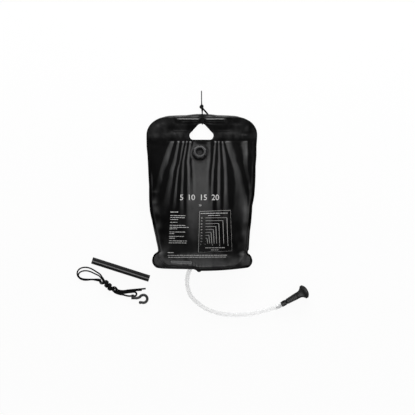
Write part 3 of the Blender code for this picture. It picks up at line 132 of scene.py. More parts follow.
class Bench:
    """The nodes of one material or world."""

    def __init__(self, tree: bpy.types.NodeTree) -> None:
        """Take over an empty tree."""
        self.tree = tree
        tree.nodes.clear()

    def node(
        self,
        kind: str,
        settings: Mapping[str, Any] | None = None,
        inputs: Mapping[str | int, Any] | None = None,
        output: str | int = 0,
    ) -> Signal:
        """Add one node.

        Args:
            kind: The node's type.
            settings: Its own settings, set first. The word stops holds a ramp's stops.
            inputs: Values or signals for its sockets.
            output: The socket to go on from.

        Returns:
            The chosen output.
        """
        made = self.tree.nodes.new(kind)
        for name, value in (settings or {}).items():
            if name == "stops":
                self._set_stops(made.color_ramp, value)
            else:
                setattr(made, name, value)
        for name, value in (inputs or {}).items():
            if isinstance(value, Signal):
                self.tree.links.new(value.socket, made.inputs[name])
            else:
                made.inputs[name].default_value = value
        return Signal(self, made.outputs[output])

    @staticmethod
    def _set_stops(ramp: bpy.types.ColorRamp, stops: Sequence[tuple[float, Colour]]) -> None:
        """Give a ramp its stops.

        Args:
            ramp: The ramp.
            stops: The place and the colour of each stop.
        """
        while len(ramp.elements) < len(stops):
            ramp.elements.new(0.5)
        for element, (at, colour) in zip(ramp.elements, stops):
            element.position = at
            element.color = colour

    def maths(self, operation: str, first: Term, second: Term = 0.0) -> Signal:
        """Reckon with two values."""
        return self.node("ShaderNodeMath", {"operation": operation}, {0: first, 1: second})

    def place(self) -> Signal:
        """The place on the object, in metres."""
        return self.node("ShaderNodeTexCoord", output="Object")

    def stretched(self, place: Signal, scales: Point) -> Signal:
        """A place with its axes scaled."""
        return self.node("ShaderNodeVectorMath", {"operation": "MULTIPLY"}, {0: place, 1: scales})

    def axis(self, place: Signal, name: str) -> Signal:
        """One axis of a place."""
        return self.node("ShaderNodeSeparateXYZ", {}, {0: place}, name)

    def measure(self, name: str) -> Signal:
        """A number that the mesh holds at each point."""
        return self.node("ShaderNodeAttribute", {"attribute_name": name}, {}, "Fac")

    def cloud(self, place: Signal, scale: float, detail: float = 3.0, roughness: float = 0.55) -> Signal:
        """Soft noise from 0 to 1."""
        inputs = {"Vector": place, "Scale": scale, "Detail": detail, "Roughness": roughness}
        return self.node("ShaderNodeTexNoise", {}, inputs)

    def pebbles(self, place: Signal, scale: float) -> Signal:
        """The distance to the middle of each cell of a moulded texture."""
        return self.node("ShaderNodeTexVoronoi", {}, {"Vector": place, "Scale": scale})

    def edges(self) -> Signal:
        """How convex the surface is, with 0.5 where it is flat."""
        return self.node("ShaderNodeNewGeometry", output="Pointiness")

    def tint(self, factor: Term, first: Colour | Signal, second: Colour | Signal) -> Signal:
        """Mix two colours."""
        inputs = {0: factor, 6: first, 7: second}
        return self.node("ShaderNodeMix", {"data_type": "RGBA"}, inputs, 2)

    def bump(self, height: Signal, distance: float) -> Signal:
        """A normal from a height of 0 to 1."""
        return self.node("ShaderNodeBump", {}, {"Height": height, "Distance": distance})

    def surface(self, inputs: Mapping[str, Any]) -> Signal:
        """A shader of the general kind, with its sockets' values."""
        return self.node("ShaderNodeBsdfPrincipled", {}, inputs)

    def blend(self, factor: Signal, first: Signal, second: Signal) -> Signal:
        """Two shaders mixed by a factor."""
        return self.node("ShaderNodeMixShader", {}, {0: factor, 1: first, 2: second})

    def finish_with(self, shader: Signal, kind: str = "ShaderNodeOutputMaterial") -> None:
        """Send a shader to the output."""
        made = self.tree.nodes.new(kind)
        self.tree.links.new(shader.socket, made.inputs["Surface"])


# Finishes


@dataclass(frozen=True)
class Finish:
    """A finish that pieces share, by its name."""

    name: str

    def dress(self, bench: Bench) -> Signal:
        """Make the finish's nodes and return its shader."""
        raise NotImplementedError

    def material(self) -> bpy.types.Material:
        """The finish's material, made once.

        Returns:
            The material.
        """
        known = bpy.data.materials.get(self.name)
        if known:
            return known
        made = bpy.data.materials.new(self.name)
        made.use_nodes = True
        bench = Bench(made.node_tree)
        bench.finish_with(self.dress(bench))
        return made


@dataclass(frozen=True)
class VinylSheet(Finish):
    """Glossy black film with fine grain, paler on fold crests from wear and painted highlights, darker with
    painted shade in fold hollows, and pressed weld bands.
    """

    # The first colour is painted shade for the fold hollows; the last is worn fold crests and painted
    # highlights.
    deep: Colour = (0.0012, 0.0012, 0.0013, 1.0)
    plain: Colour = (0.0065, 0.0065, 0.0067, 1.0)
    wear_and_painted_highlight: Colour = (0.100, 0.100, 0.101, 1.0)
    gloss: float = 0.25
    shade: float = 0.045

    def dress(self, bench: Bench) -> Signal:
        """Black film whose tone and gloss follow its folds, with painted highlights and painted shade.

        Args:
            bench: The bench to make the nodes on.

        Returns:
            The shader.
        """
        place = bench.place()
        crest = bench.measure("crest")
        weld = bench.measure("weld")
        smudge = bench.cloud(place, 8.0, 5.0, 0.6)
        drag = bench.cloud(bench.stretched(place, (120.0, 18.0, 120.0)), 1.0, 3.0)
        grain = bench.cloud(place, 1500.0, 2.0)
        cells = bench.pebbles(place, 620.0)
        # Painted shade where the mesh's tone value is low, in fold hollows; paler where it is high, for worn
        # crests and painted highlights.
        painted_shade = crest.share(0.5, 0.08)
        wear_and_highlight_share = (crest - 0.5) * (0.68 + 0.46 * drag)
        dark = bench.tint(painted_shade, self.plain, self.deep)
        tone = bench.tint(wear_and_highlight_share, dark, self.wear_and_painted_highlight)
        dusted = bench.tint(smudge.share(0.55, 0.8) * (1.0 - painted_shade) * 0.05, tone, self.wear_and_painted_highlight)
        rough = self.gloss + 0.07 * smudge + 0.05 * drag + 0.12 * weld
        across = bench.axis(place, "X") * 2600.0
        along = bench.axis(place, "Y") * 2600.0
        pressed = bench.maths("SINE", across + along) * bench.maths("SINE", across - along)
        height = 0.55 * grain + 0.3 * cells + weld * pressed * 0.5
        lines = bench.bump(height, 0.00016)
        bright = bench.surface(
            {"Base Color": dusted, "Roughness": rough, "Specular IOR Level": 0.40, "Normal": lines}
        )
        dull = bench.surface(
            {"Base Color": dark, "Roughness": 0.3 + rough, "Specular IOR Level": self.shade, "Normal": lines}
        )
        return bench.blend(painted_shade, bright, dull)


@dataclass(frozen=True)
class MouldedPlastic(Finish):
    """Moulded plastic with an eroded texture, flow marks, and edges that handling has polished."""

    base: Colour = (0.010, 0.010, 0.011, 1.0)
    edge: Colour = (0.034, 0.034, 0.036, 1.0)
    deep: Colour = (0.0035, 0.0035, 0.0036, 1.0)
    gloss: float = 0.33
    texture: float = 0.00006

    def dress(self, bench: Bench) -> Signal:
        """Textured plastic with paler, smoother edges.

        Args:
            bench: The bench to make the nodes on.

        Returns:
            The shader.
        """
        place = bench.place()
        flow = bench.cloud(bench.stretched(place, (40.0, 40.0, 120.0)), 1.0, 4.0)
        grit = bench.pebbles(place, 2300.0)
        fine = bench.cloud(place, 3800.0, 2.0)
        polished = bench.edges().share(0.505, 0.56)
        scratch = bench.cloud(bench.stretched(place, (1400.0, 160.0, 160.0)), 1.0, 2.0).share(0.62, 0.7)
        tone = bench.tint(polished * 0.7 + scratch * 0.12, self.base, self.edge)
        rough = self.gloss + 0.14 * flow - 0.08 * polished + 0.1 * scratch
        height = 0.6 * grit + 0.3 * fine - 0.4 * scratch
        lines = bench.bump(height, self.texture)
        bright = bench.surface({"Base Color": tone, "Roughness": rough, "Normal": lines})
        # Where the mesh's deep value is high, a darker, duller shader: painted shade on the filler's neck and
        # cap, and the plain black beside the painted highlights of the pipe and head.
        dull = bench.surface(
            {"Base Color": self.deep, "Roughness": 0.25 + rough, "Specular IOR Level": 0.08, "Normal": lines}
        )
        return bench.blend(bench.measure("deep"), bright, dull)


@dataclass(frozen=True)
class HookPlastic(MouldedPlastic):
    """The hook's grey plastic, with a black painted shadow on its eye block."""

    # The block colour is the black painted shadow on the eye block, between the two places along X that
    # follow.
    block: Colour = (0.006, 0.006, 0.006, 1.0)
    painted_shadow_start: float = -0.2632
    painted_shadow_end: float = -0.2508

    def dress(self, bench: Bench) -> Signal:
        """Grey plastic with a black painted shadow band between two places along X.

        Args:
            bench: The bench to make the nodes on.

        Returns:
            The shader.
        """
        place = bench.place()
        along = bench.axis(place, "X")
        middle = (self.painted_shadow_start + self.painted_shadow_end) / 2
        half = (self.painted_shadow_end - self.painted_shadow_start) / 2
        off = bench.maths("ABSOLUTE", along - middle)
        # The painted shadow band on the eye block.
        band = off.share(half + 0.0003, half)
        flow = bench.cloud(bench.stretched(place, (60.0, 140.0, 140.0)), 1.0, 4.0)
        grit = bench.pebbles(place, 2300.0)
        polished = bench.edges().share(0.505, 0.56)
        tone = bench.tint(polished * 0.6 + 0.25 * flow, self.base, self.edge)
        height = 0.6 * grit + 0.25 * flow
        return bench.surface(
            {
                "Base Color": bench.tint(band, tone, self.block),
                "Roughness": self.gloss + 0.14 * flow + 0.12 * band,
                "Normal": bench.bump(height, self.texture),
            }
        )


@dataclass(frozen=True)
class SoftRubber(Finish):
    """Matt rubber with a faint bloom."""

    base: Colour = (0.012, 0.012, 0.012, 1.0)
    bloom: Colour = (0.045, 0.045, 0.044, 1.0)

    def dress(self, bench: Bench) -> Signal:
        """Matt rubber, dusty in patches.

        Args:
            bench: The bench to make the nodes on.

        Returns:
            The shader.
        """
        place = bench.place()
        patch = bench.cloud(place, 160.0, 4.0)
        fine = bench.cloud(place, 2600.0, 2.0)
        return bench.surface(
            {
                "Base Color": bench.tint(patch.share(0.4, 0.75) * 0.6, self.base, self.bloom),
                "Roughness": 0.62 + 0.2 * patch,
                "Normal": bench.bump(fine, 0.00005),
            }
        )


@dataclass(frozen=True)
class ClearHose(Finish):
    """Milky clear vinyl hose with drawn lines along it."""

    clear: Colour = (0.97, 0.975, 0.98, 1.0)
    cloudy: Colour = (0.94, 0.945, 0.955, 1.0)
    milk: float = 0.10
    settled: float = 0.62

    def dress(self, bench: Bench) -> Signal:
        """Clear vinyl, slightly cloudy in patches and milky where it is stretched over a fitting.

        Args:
            bench: The bench to make the nodes on.

        Returns:
            The shader.
        """
        place = bench.place()
        haze = bench.cloud(place, 55.0, 4.0)
        lay = bench.node("ShaderNodeUVMap", {"uv_map": "braid"})
        drawn = bench.cloud(bench.stretched(lay, (26.0, 6.0, 1.0)), 1.0, 2.0)
        return bench.surface(
            {
                "Base Color": bench.tint(haze.share(0.35, 0.7), self.clear, self.cloudy),
                "Roughness": 0.1 + 0.12 * haze,
                "Alpha": self.milk + 0.06 * haze + 0.04 * drawn + self.settled * bench.measure("cloud"),
                "Normal": bench.bump(0.7 * drawn + 0.3 * haze, 0.00012),
            }
        )


@dataclass(frozen=True)
class BraidedCord(Finish):
    """Black braided cord: two sets of strands that cross."""

    pick: float = 0.0026
    strands: int = 8
    # The first colour is painted shade in the gaps between strands.
    painted_shade: Colour = (0.0012, 0.0012, 0.0013, 1.0)
    strand: Colour = (0.0065, 0.0065, 0.0068, 1.0)
    sheen: float = 0.1

    def dress(self, bench: Bench) -> Signal:
        """Crossing strands from the cord's own lay, with fuzz and painted shade in the gaps between them.

        Args:
            bench: The bench to make the nodes on.

        Returns:
            The shader.
        """
        lay = bench.node("ShaderNodeUVMap", {"uv_map": "braid"})
        around = bench.axis(lay, "X") * (math.tau * self.strands / 2)
        along = bench.axis(lay, "Y") * (math.tau / self.pick)
        left = bench.maths("ABSOLUTE", bench.maths("SINE", around + along))
        right = bench.maths("ABSOLUTE", bench.maths("SINE", around - along))
        raised = bench.maths("MAXIMUM", left, right)
        fuzz = bench.cloud(bench.place(), 2400.0, 3.0)
        tone = bench.tint(raised.share(0.25, 0.95) * (0.7 + 0.5 * fuzz), self.painted_shade, self.strand)
        return bench.surface(
            {
                "Base Color": tone,
                "Roughness": 0.62 + 0.25 * fuzz,
                "Specular IOR Level": self.sheen,
                "Normal": bench.bump(0.8 * raised + 0.2 * fuzz, 0.00035),
            }
        )


@dataclass(frozen=True)
class PrintInk(Finish):
    """White screen ink, thin and worn in places."""

    ink: Colour = (0.62, 0.62, 0.61, 1.0)
    wear_and_painted_highlight: Colour = (0.12, 0.12, 0.12, 1.0)

    def dress(self, bench: Bench) -> Signal:
        """Ink with small breaks.

        Args:
            bench: The bench to make the nodes on.

        Returns:
            The shader.
        """
        place = bench.place()
        worn = bench.cloud(place, 420.0, 4.0).share(0.52, 0.74)
        return bench.surface(
            {
                "Base Color": bench.tint(worn * 0.8, self.ink, self.wear_and_painted_highlight),
                "Roughness": 0.45 + 0.2 * worn,
            }
        )


@dataclass(frozen=True)
class StripFilm(Finish):
    """Thermometer film: a printed border round a row of dark windows, under a clear coat."""

    film: Colour = (0.032, 0.032, 0.033, 1.0)
    line: Colour = (0.175, 0.175, 0.175, 1.0)
    window: Colour = (0.006, 0.007, 0.008, 1.0)
    windows: int = 6

    def dress(self, bench: Bench) -> Signal:
        """Border and windows from the film's own length and width.

        Args:
            bench: The bench to make the nodes on.

        Returns:
            The shader.
        """
        lay = bench.node("ShaderNodeUVMap", {"uv_map": "film"})
        along = bench.axis(lay, "X")
        across = bench.maths("ABSOLUTE", bench.axis(lay, "Y") - 0.5)
        end = bench.maths("ABSOLUTE", along - 0.5)
        border = bench.maths("MAXIMUM", across.share(0.40, 0.44), end.share(0.462, 0.474))
        cell = bench.maths("ABSOLUTE", bench.maths("FRACT", along * self.windows) - 0.5)
        inside = across.share(0.30, 0.27) * cell.share(0.42, 0.40) * end.share(0.455, 0.45)
        smear = bench.cloud(bench.place(), 90.0, 3.0)
        tone = bench.tint(inside, self.film, self.window)
        edged = bench.tint(border * (0.6 + 0.6 * smear), tone, self.line)
        return bench.surface(
            {"Base Color": edged, "Roughness": 0.22 + 0.16 * smear, "Coat Weight": 0.3 + 0.3 * inside}
        )


@dataclass(frozen=True)
class StudioFloor(Finish):
    """White paper that stays white to the eye and to reflections, and keeps soft shadows."""

    paper: Colour = (0.97, 0.97, 0.97, 1.0)
    shadow_share: float = 0.06

    def dress(self, bench: Bench) -> Signal:
        """Paper for light that falls on it, mostly plain white for what looks at it.

        Args:
            bench: The bench to make the nodes on.

        Returns:
            The shader.
        """
        fibres = bench.cloud(bench.place(), 30.0, 3.0)
        tone = bench.tint(fibres * 0.3, self.paper, (0.95, 0.95, 0.955, 1.0))
        paper = bench.node("ShaderNodeBsdfDiffuse", {}, {"Color": tone})
        white = bench.node("ShaderNodeEmission", {}, {"Strength": 1.0})
        rays = "ShaderNodeLightPath"
        looks = bench.node(rays, output="Is Camera Ray")
        shine = bench.node(rays, output="Is Glossy Ray")
        through = bench.node(rays, output="Is Transmission Ray")
        seen = bench.maths("MAXIMUM", bench.maths("MAXIMUM", looks, shine), through)
        return bench.node(
            "ShaderNodeMixShader", {}, {0: seen * (1.0 - self.shadow_share), 1: paper, 2: white}
        )


SHEET_FINISH = VinylSheet("black_vinyl_sheet")
PLASTIC = MouldedPlastic("black_moulded_plastic")
# The pipe's base and edge colours are its painted highlight stripe; its own black is the deep colour, used
# off the stripe.
PIPE_PLASTIC = MouldedPlastic(
    "black_pipe_plastic", base=(0.280, 0.280, 0.281, 1.0), edge=(0.310, 0.310, 0.312, 1.0),
    deep=(0.0090, 0.0090, 0.0092, 1.0), gloss=0.30, texture=0.00003,
)
# The head's base and edge colours are its painted highlights along its top; its own black is the deep colour,
# used off them.
HEAD_PLASTIC = MouldedPlastic(
    "black_head_plastic", base=(0.120, 0.120, 0.121, 1.0), edge=(0.135, 0.135, 0.137, 1.0),
    deep=(0.0090, 0.0090, 0.0092, 1.0),
)
HOOK_FINISH = HookPlastic(
    "grey_hook_plastic", base=(0.026, 0.026, 0.0275, 1.0), edge=(0.050, 0.050, 0.052, 1.0), gloss=0.42
)
RUBBER = SoftRubber("black_rubber")
HOSE_FINISH = ClearHose("clear_hose_vinyl")
CORD_FINISH = BraidedCord("black_braid")
STRING_FINISH = BraidedCord("thin_black_braid", pick=0.002, strands=6)
INK = PrintInk("white_print")
FILM = StripFilm("thermometer_film")
FLOOR = StudioFloor("studio_floor")


# Small tools


def smoothstep(share: Any) -> Any:
    """Ease a share, or an array of them, from 0 to 1."""
    share = np.clip(share, 0.0, 1.0)
    return share * share * (3.0 - 2.0 * share)


def between(low: Any, high: Any, share: Any) -> Any:
    """Mix two values."""
    return low + (high - low) * share


def bell(distance: Any, width: float) -> Any:
    """A rounded hump that is 1 in its middle."""
    return np.exp(-((distance / width) ** 2))


def past(value: Any, start: float, run: float) -> Any:
    """Ease from 0 at a start to 1 at a run beyond it."""
    return smoothstep((value - start) / run)


def short_of(value: Any, end: float, run: float) -> Any:
    """Ease from 1 at a run short of an end to 0 at the end."""
    return smoothstep((end - value) / run)


def smooth(mesh: bpy.types.Mesh, sharp: float) -> bpy.types.Mesh:
    """Shade a mesh smooth, but for edges that turn more than some degrees.

    Args:
        mesh: The mesh.
        sharp: That many degrees.

    Returns:
        The same mesh.
    """
    mesh.shade_smooth()
    mesh.set_sharp_from_angle(angle=math.radians(sharp))
    return mesh


def linked(name: str, data: Any) -> bpy.types.Object:
    """A new object in the scene.

    Args:
        name: Its name.
        data: What it shows.

    Returns:
        The object.
    """
    made = bpy.data.objects.new(name, data)
    bpy.context.scene.collection.objects.link(made)
    return made


def mesh_from(name: str, places: Iterable[Any], faces: Iterable[Sequence[int]]) -> bpy.types.Mesh:
    """A mesh from its points, in metres, and the corners of its faces.

    Args:
        name: The mesh's name.
        places: The points.
        faces: The faces.

    Returns:
        The mesh.
    """
    mesh = bpy.data.meshes.new(name)
    mesh.from_pydata([tuple(map(float, place)) for place in places], [], list(faces))
    return mesh


def mark_points(mesh: bpy.types.Mesh, name: str, values: Iterable[float]) -> None:
    """Give each point of a mesh a number that its finish reads."""
    mesh.attributes.new(name, "FLOAT", "POINT").data.foreach_set("value", np.fromiter(values, np.float32))


def grid_faces(rows: int, columns: int) -> list[tuple[int, ...]]:
    """The faces of a grid of points, row by row.

    Args:
        rows: Rows of faces.
        columns: Faces in a row.

    Returns:
        The corners of each face.
    """
    corners = [(0, 0), (0, 1), (1, 1), (1, 0)]
    return [
        tuple((row + down) * (columns + 1) + column + across for down, across in corners)
        for row in range(rows)
        for column in range(columns)
    ]


def measured(line: np.ndarray) -> np.ndarray:
    """How far along a line each of its points is."""
    return np.concatenate([[0.0], np.cumsum(np.linalg.norm(np.diff(line, axis=0), axis=1))])


def eased(points: Sequence[Flat], radius: float, steps: int = 3, looped: bool = True) -> list[Flat]:
    """Round the corners of a profile.

    Args:
        points: The profile's corners.
        radius: How far from each corner its rounding starts, at most.
        steps: Points in each rounding, less one.
        looped: True where the last corner joins the first.

    Returns:
        The rounded profile.
    """
    count = len(points)
    found: list[Flat] = []
    for index, corner in enumerate(points):
        if not looped and index in (0, count - 1):
            found.append(corner)
            continue
        here = Vector(corner)
        before = Vector(points[index - 1]) - here
        after = Vector(points[(index + 1) % count]) - here
        run = min(radius, 0.45 * before.length, 0.45 * after.length)
        first = here + before.normalized() * run
        last = here + after.normalized() * run
        for step in range(steps + 1):
            share = step / steps
            spot = first * (1 - share) ** 2 + here * (2 * share * (1 - share)) + last * share**2
            found.append((spot.x, spot.y))
    return found


def turned_mesh(
    name: str,
    profile: Sequence[Flat],
    steps: int,
    matrix: Matrix,
    swell: Callable[[float, float, float], float] | None = None,
    looped: bool = True,
) -> bpy.types.Mesh:
    """Turn a profile of radius and height about an axis.

    Args:
        name: The mesh's name.
        profile: Radius and height of each point.
        steps: Points in one turn.
        matrix: Where the axis is.
        swell: Gives a radius from an angle, a radius and a height.
        looped: True where the profile's end joins its start.

    Returns:
        The mesh, in the model's frame.
    """
    places: list[Vector] = []
    rings: list[list[int]] = []
    for radius, height in profile:
        if radius < 1e-7:
            rings.append([len(places)])
            places.append(matrix @ Vector((0.0, 0.0, height)))
            continue
        rings.append(list(range(len(places), len(places) + steps)))
        for step in range(steps):
            angle = math.tau * step / steps
            reach = swell(angle, radius, height) if swell else radius
            places.append(matrix @ Vector((reach * math.cos(angle), reach * math.sin(angle), height)))
    pairs = list(zip(rings, rings[1:])) + ([(rings[-1], rings[0])] if looped else [])
    faces = []
    for upper, lower in pairs:
        for step in range(steps):
            onward = (step + 1) % steps
            if len(upper) == 1 and len(lower) == 1:
                continue
            if len(upper) == 1:
                faces.append((upper[0], lower[step], lower[onward]))
            elif len(lower) == 1:
                faces.append((upper[onward], upper[step], lower[0]))
            else:
                faces.append((upper[onward], upper[step], lower[step], lower[onward]))
    mesh = mesh_from(name, places, faces)
    shape = bmesh.new()
    shape.from_mesh(mesh)
    bmesh.ops.recalc_face_normals(shape, faces=shape.faces)
    shape.to_mesh(mesh)
    shape.free()
    return smooth(mesh, 38)


def smooth_route(points: Sequence[Any], spacing: float) -> np.ndarray:
    """Points at an even spacing along a smooth curve through a route's own points.

    Args:
        points: The route.
        spacing: The distance between points.

    Returns:
        The points as an array.
    """
    places = np.array([tuple(point) for point in points], float)
    places = np.vstack([2 * places[0] - places[1], places, 2 * places[-1] - places[-2]])
    fine = []
    for before, start, end, after in zip(places, places[1:], places[2:], places[3:]):
        runs = [np.linalg.norm(start - before), np.linalg.norm(end - start), np.linalg.norm(after - end)]
        knots = np.cumsum([0.0, *np.sqrt(runs)])
        for at in np.linspace(knots[1], knots[2], 12, endpoint=False):
            first = ((knots[1] - at) * before + (at - knots[0]) * start) / (knots[1] - knots[0])
            second = ((knots[2] - at) * start + (at - knots[1]) * end) / (knots[2] - knots[1])
            third = ((knots[3] - at) * end + (at - knots[2]) * after) / (knots[3] - knots[2])
            left = ((knots[2] - at) * first + (at - knots[0]) * second) / (knots[2] - knots[0])
            right = ((knots[3] - at) * second + (at - knots[1]) * third) / (knots[3] - knots[1])
            fine.append(((knots[2] - at) * left + (at - knots[1]) * right) / (knots[2] - knots[1]))
    fine.append(places[-2])
    return respaced(np.array(fine), spacing)


def respaced(line: np.ndarray, spacing: float) -> np.ndarray:
    """The same line with points at an even spacing.

    Args:
        line: The line's points.
        spacing: The distance between the new ones.

    Returns:
        The new points.
    """
    along = measured(line)
    stops = np.linspace(0.0, along[-1], max(2, round(along[-1] / spacing) + 1))
    return np.stack([np.interp(stops, along, line[:, axis]) for axis in range(3)], axis=1)


def tube_mesh(
    name: str, line: np.ndarray, radius: Any, sides: int, bore: float = 0.0, tip: float = 0.0
) -> bpy.types.Mesh:
    """A round tube along a line, with a lay map that runs round it and along it in metres.

    Args:
        name: The mesh's name.
        line: Its middle line.
        radius: Its radius, or one for each point of the line.
        sides: Points round it.
        bore: The radius of the bore, or 0 for a solid cord.
        tip: How far the rounded ends of a solid cord stand out.

    Returns:
        The mesh.
    """
    along = measured(line)
    ways = np.gradient(line, axis=0)
    ways /= np.linalg.norm(ways, axis=1)[:, None]
    side = np.cross(ways[0], (0.0, 0.0, 1.0))
    side /= np.linalg.norm(side)
    sideways = []
    for way in ways:
        side = side - way * np.dot(side, way)
        side /= np.linalg.norm(side)
        sideways.append(side)
    sideways = np.array(sideways)
    upward = np.cross(ways, sideways)
    angles = math.tau * np.arange(sides) / sides
    cosines, sines = np.cos(angles)[None, :, None], np.sin(angles)[None, :, None]
    rounds = cosines * sideways[:, None] + sines * upward[:, None]
    middles, spans = [*line], [*rounds]
    radii = np.broadcast_to(radius, len(line))
    reaches = [np.full(sides, reach) for reach in radii]
    if tip:
        middles = [line[0] - ways[0] * tip, *middles, line[-1] + ways[-1] * tip]
        spans = [rounds[0], *spans, rounds[-1]]
        reaches = [reaches[0] * 0.62, *reaches, reaches[-1] * 0.62]
        along = np.concatenate([[-tip], along, [along[-1] + tip]])
    rings = len(middles)
    places = [middle + span * reach[:, None] for middle, span, reach in zip(middles, spans, reaches)]
    if bore:
        places += [middle + span * bore for middle, span in zip(middles, spans)]
    places = np.concatenate(places)
    faces, lays = [], []
    for ring in range(rings - 1):
        for step in range(sides):
            onward = (step + 1) % sides
            low, high = ring * sides, (ring + 1) * sides
            faces.append((low + step, low + onward, high + onward, high + step))
            u, v = (step / sides, (step + 1) / sides), (along[ring], along[ring + 1])
            lays.append(((u[0], v[0]), (u[1], v[0]), (u[1], v[1]), (u[0], v[1])))
            if bore:
                inner = rings * sides
                faces.append(tuple(inner + corner for corner in reversed(faces[-1])))
                lays.append(tuple(reversed(lays[-1])))
    for ring, turn in ((0, 1), (rings - 1, -1)):
        start = ring * sides
        if bore:
            inner = rings * sides + start
            for step in range(sides):
                onward = (step + 1) % sides
                faces.append((start + onward, start + step, inner + step, inner + onward)[::turn])
                lays.append(((0.0, along[ring]),) * 4)
        else:
            faces.append(tuple(range(start, start + sides))[:: -turn])
            lays.append(((0.5, along[ring]),) * sides)
    mesh = mesh_from(name, places, faces)
    layer = mesh.uv_layers.new(name="braid")
    layer.data.foreach_set("uv", np.array([spot for face in lays for spot in face], np.float32).ravel())
    return smooth(mesh, 50)


def place_piece(name: str, mesh: bpy.types.Mesh, finish: Finish, body: Body, *nodes: str) -> bpy.types.Object:
    """Put a finished mesh on its body, in the place of the nodes that it stands for.

    Args:
        name: The piece's name.
        mesh: Its mesh, in the model's frame.
        finish: Its finish.
        body: The body that it rides on.
        nodes: The nodes that it stands for.

    Returns:
        The piece.
    """
    mesh.materials.clear()
    mesh.materials.append(finish.material())
    piece = linked(name, mesh)
    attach(piece, body.value)
    if nodes:
        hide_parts(*nodes)
    LOG.info("%s on %s: %d faces", name, body.value, len(mesh.polygons))
    return piece


def baked(name: str, piece: bpy.types.Object) -> bpy.types.Mesh:
    """The mesh that an object's modifiers make, with the object taken away.

    Args:
        name: The new mesh's name.
        piece: The object, which has no body yet.

    Returns:
        The mesh.
    """
    bpy.context.view_layer.update()
    depsgraph = bpy.context.evaluated_depsgraph_get()
    mesh = bpy.data.meshes.new_from_object(piece.evaluated_get(depsgraph))
    bpy.data.objects.remove(piece, do_unlink=True)
    mesh.name = name
    return mesh


def helper(name: str, mesh: bpy.types.Mesh) -> bpy.types.Object:
    """An object for a modifier to work on, hidden from renders.

    Args:
        name: Its name.
        mesh: Its mesh.

    Returns:
        The object.
    """
    piece = linked(name, mesh)
    piece.hide_render = True
    return piece


def thickened(name: str, mesh: bpy.types.Mesh, thickness: float) -> bpy.types.Mesh:
    """A skin with its thickness added under it.

    Args:
        name: The new mesh's name.
        mesh: The skin.
        thickness: Its thickness.

    Returns:
        The solid's mesh.
    """
    sheet = helper(name, mesh)
    sheet.modifiers.new("Thickness", "SOLIDIFY").thickness = thickness
    return baked(name, sheet)


def drilled(name: str, blank: bpy.types.Object, drills: bmesh.types.BMesh, sharp: float) -> bpy.types.Mesh:
    """Cut holes in a blank and bake it.

    Args:
        name: The new mesh's name.
        blank: The object to cut, which is taken away.
        drills: The solids to cut with, which are used up.
        sharp: Edges that turn more than this many degrees stay sharp.

    Returns:
        The mesh.
    """
    holes = bpy.data.meshes.new(name)
    drills.to_mesh(holes)
    drills.free()
    cutter = helper(name, holes)
    cut = blank.modifiers.new("Drill", "BOOLEAN")
    cut.operation = "DIFFERENCE"
    cut.object = cutter
    mesh = baked(name, blank)
    bpy.data.objects.remove(cutter, do_unlink=True)
    return smooth(mesh, sharp)


def above(surface: BVHTree, x: float, y: float, lift: float) -> Vector:
    """The place a little way off the sheet over a point of the floor."""
    hit, normal, _, _ = surface.ray_cast(Vector((x, y, 1.0)), Vector((0.0, 0.0, -1.0)))
    return hit + normal * math.copysign(lift, normal.z)


def paint_highlight_along_top(
    mesh: bpy.types.Mesh, where: Matrix, lean: float, width: float, share: Callable[[float, float], float]
) -> None:
    """Mark a painted highlight along the top of a lying part, and plain deep black elsewhere.

    Args:
        mesh: The part's mesh.
        where: Its place, with its Z along its axis and its X down.
        lean: How far the painted highlight's line leans from the top, in radians.
        width: Its half width, in radians.
        share: How strong the painted highlight is at a radius and a height along the axis.
    """
    spots = [where.inverted() @ vertex.co for vertex in mesh.vertices]
    highlight_shares = [bell(math.atan2(spot.y, -spot.x) - lean, width) for spot in spots]
    reaches = [share(math.hypot(spot.x, spot.y), spot.z) for spot in spots]
    mark_points(mesh, "deep", (1.0 - float(wear_and_highlight_share) * reach for wear_and_highlight_share, reach in zip(highlight_shares, reaches)))


def dress_node(name: str, finish: Finish) -> None:
    """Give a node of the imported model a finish.

    Args:
        name: The node's name.
        finish: What it is made of.
    """
    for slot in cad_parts[name].material_slots:
        slot.material = finish.material()
    LOG.info("%s keeps its shape, in %s", name, finish.name)


# The bag


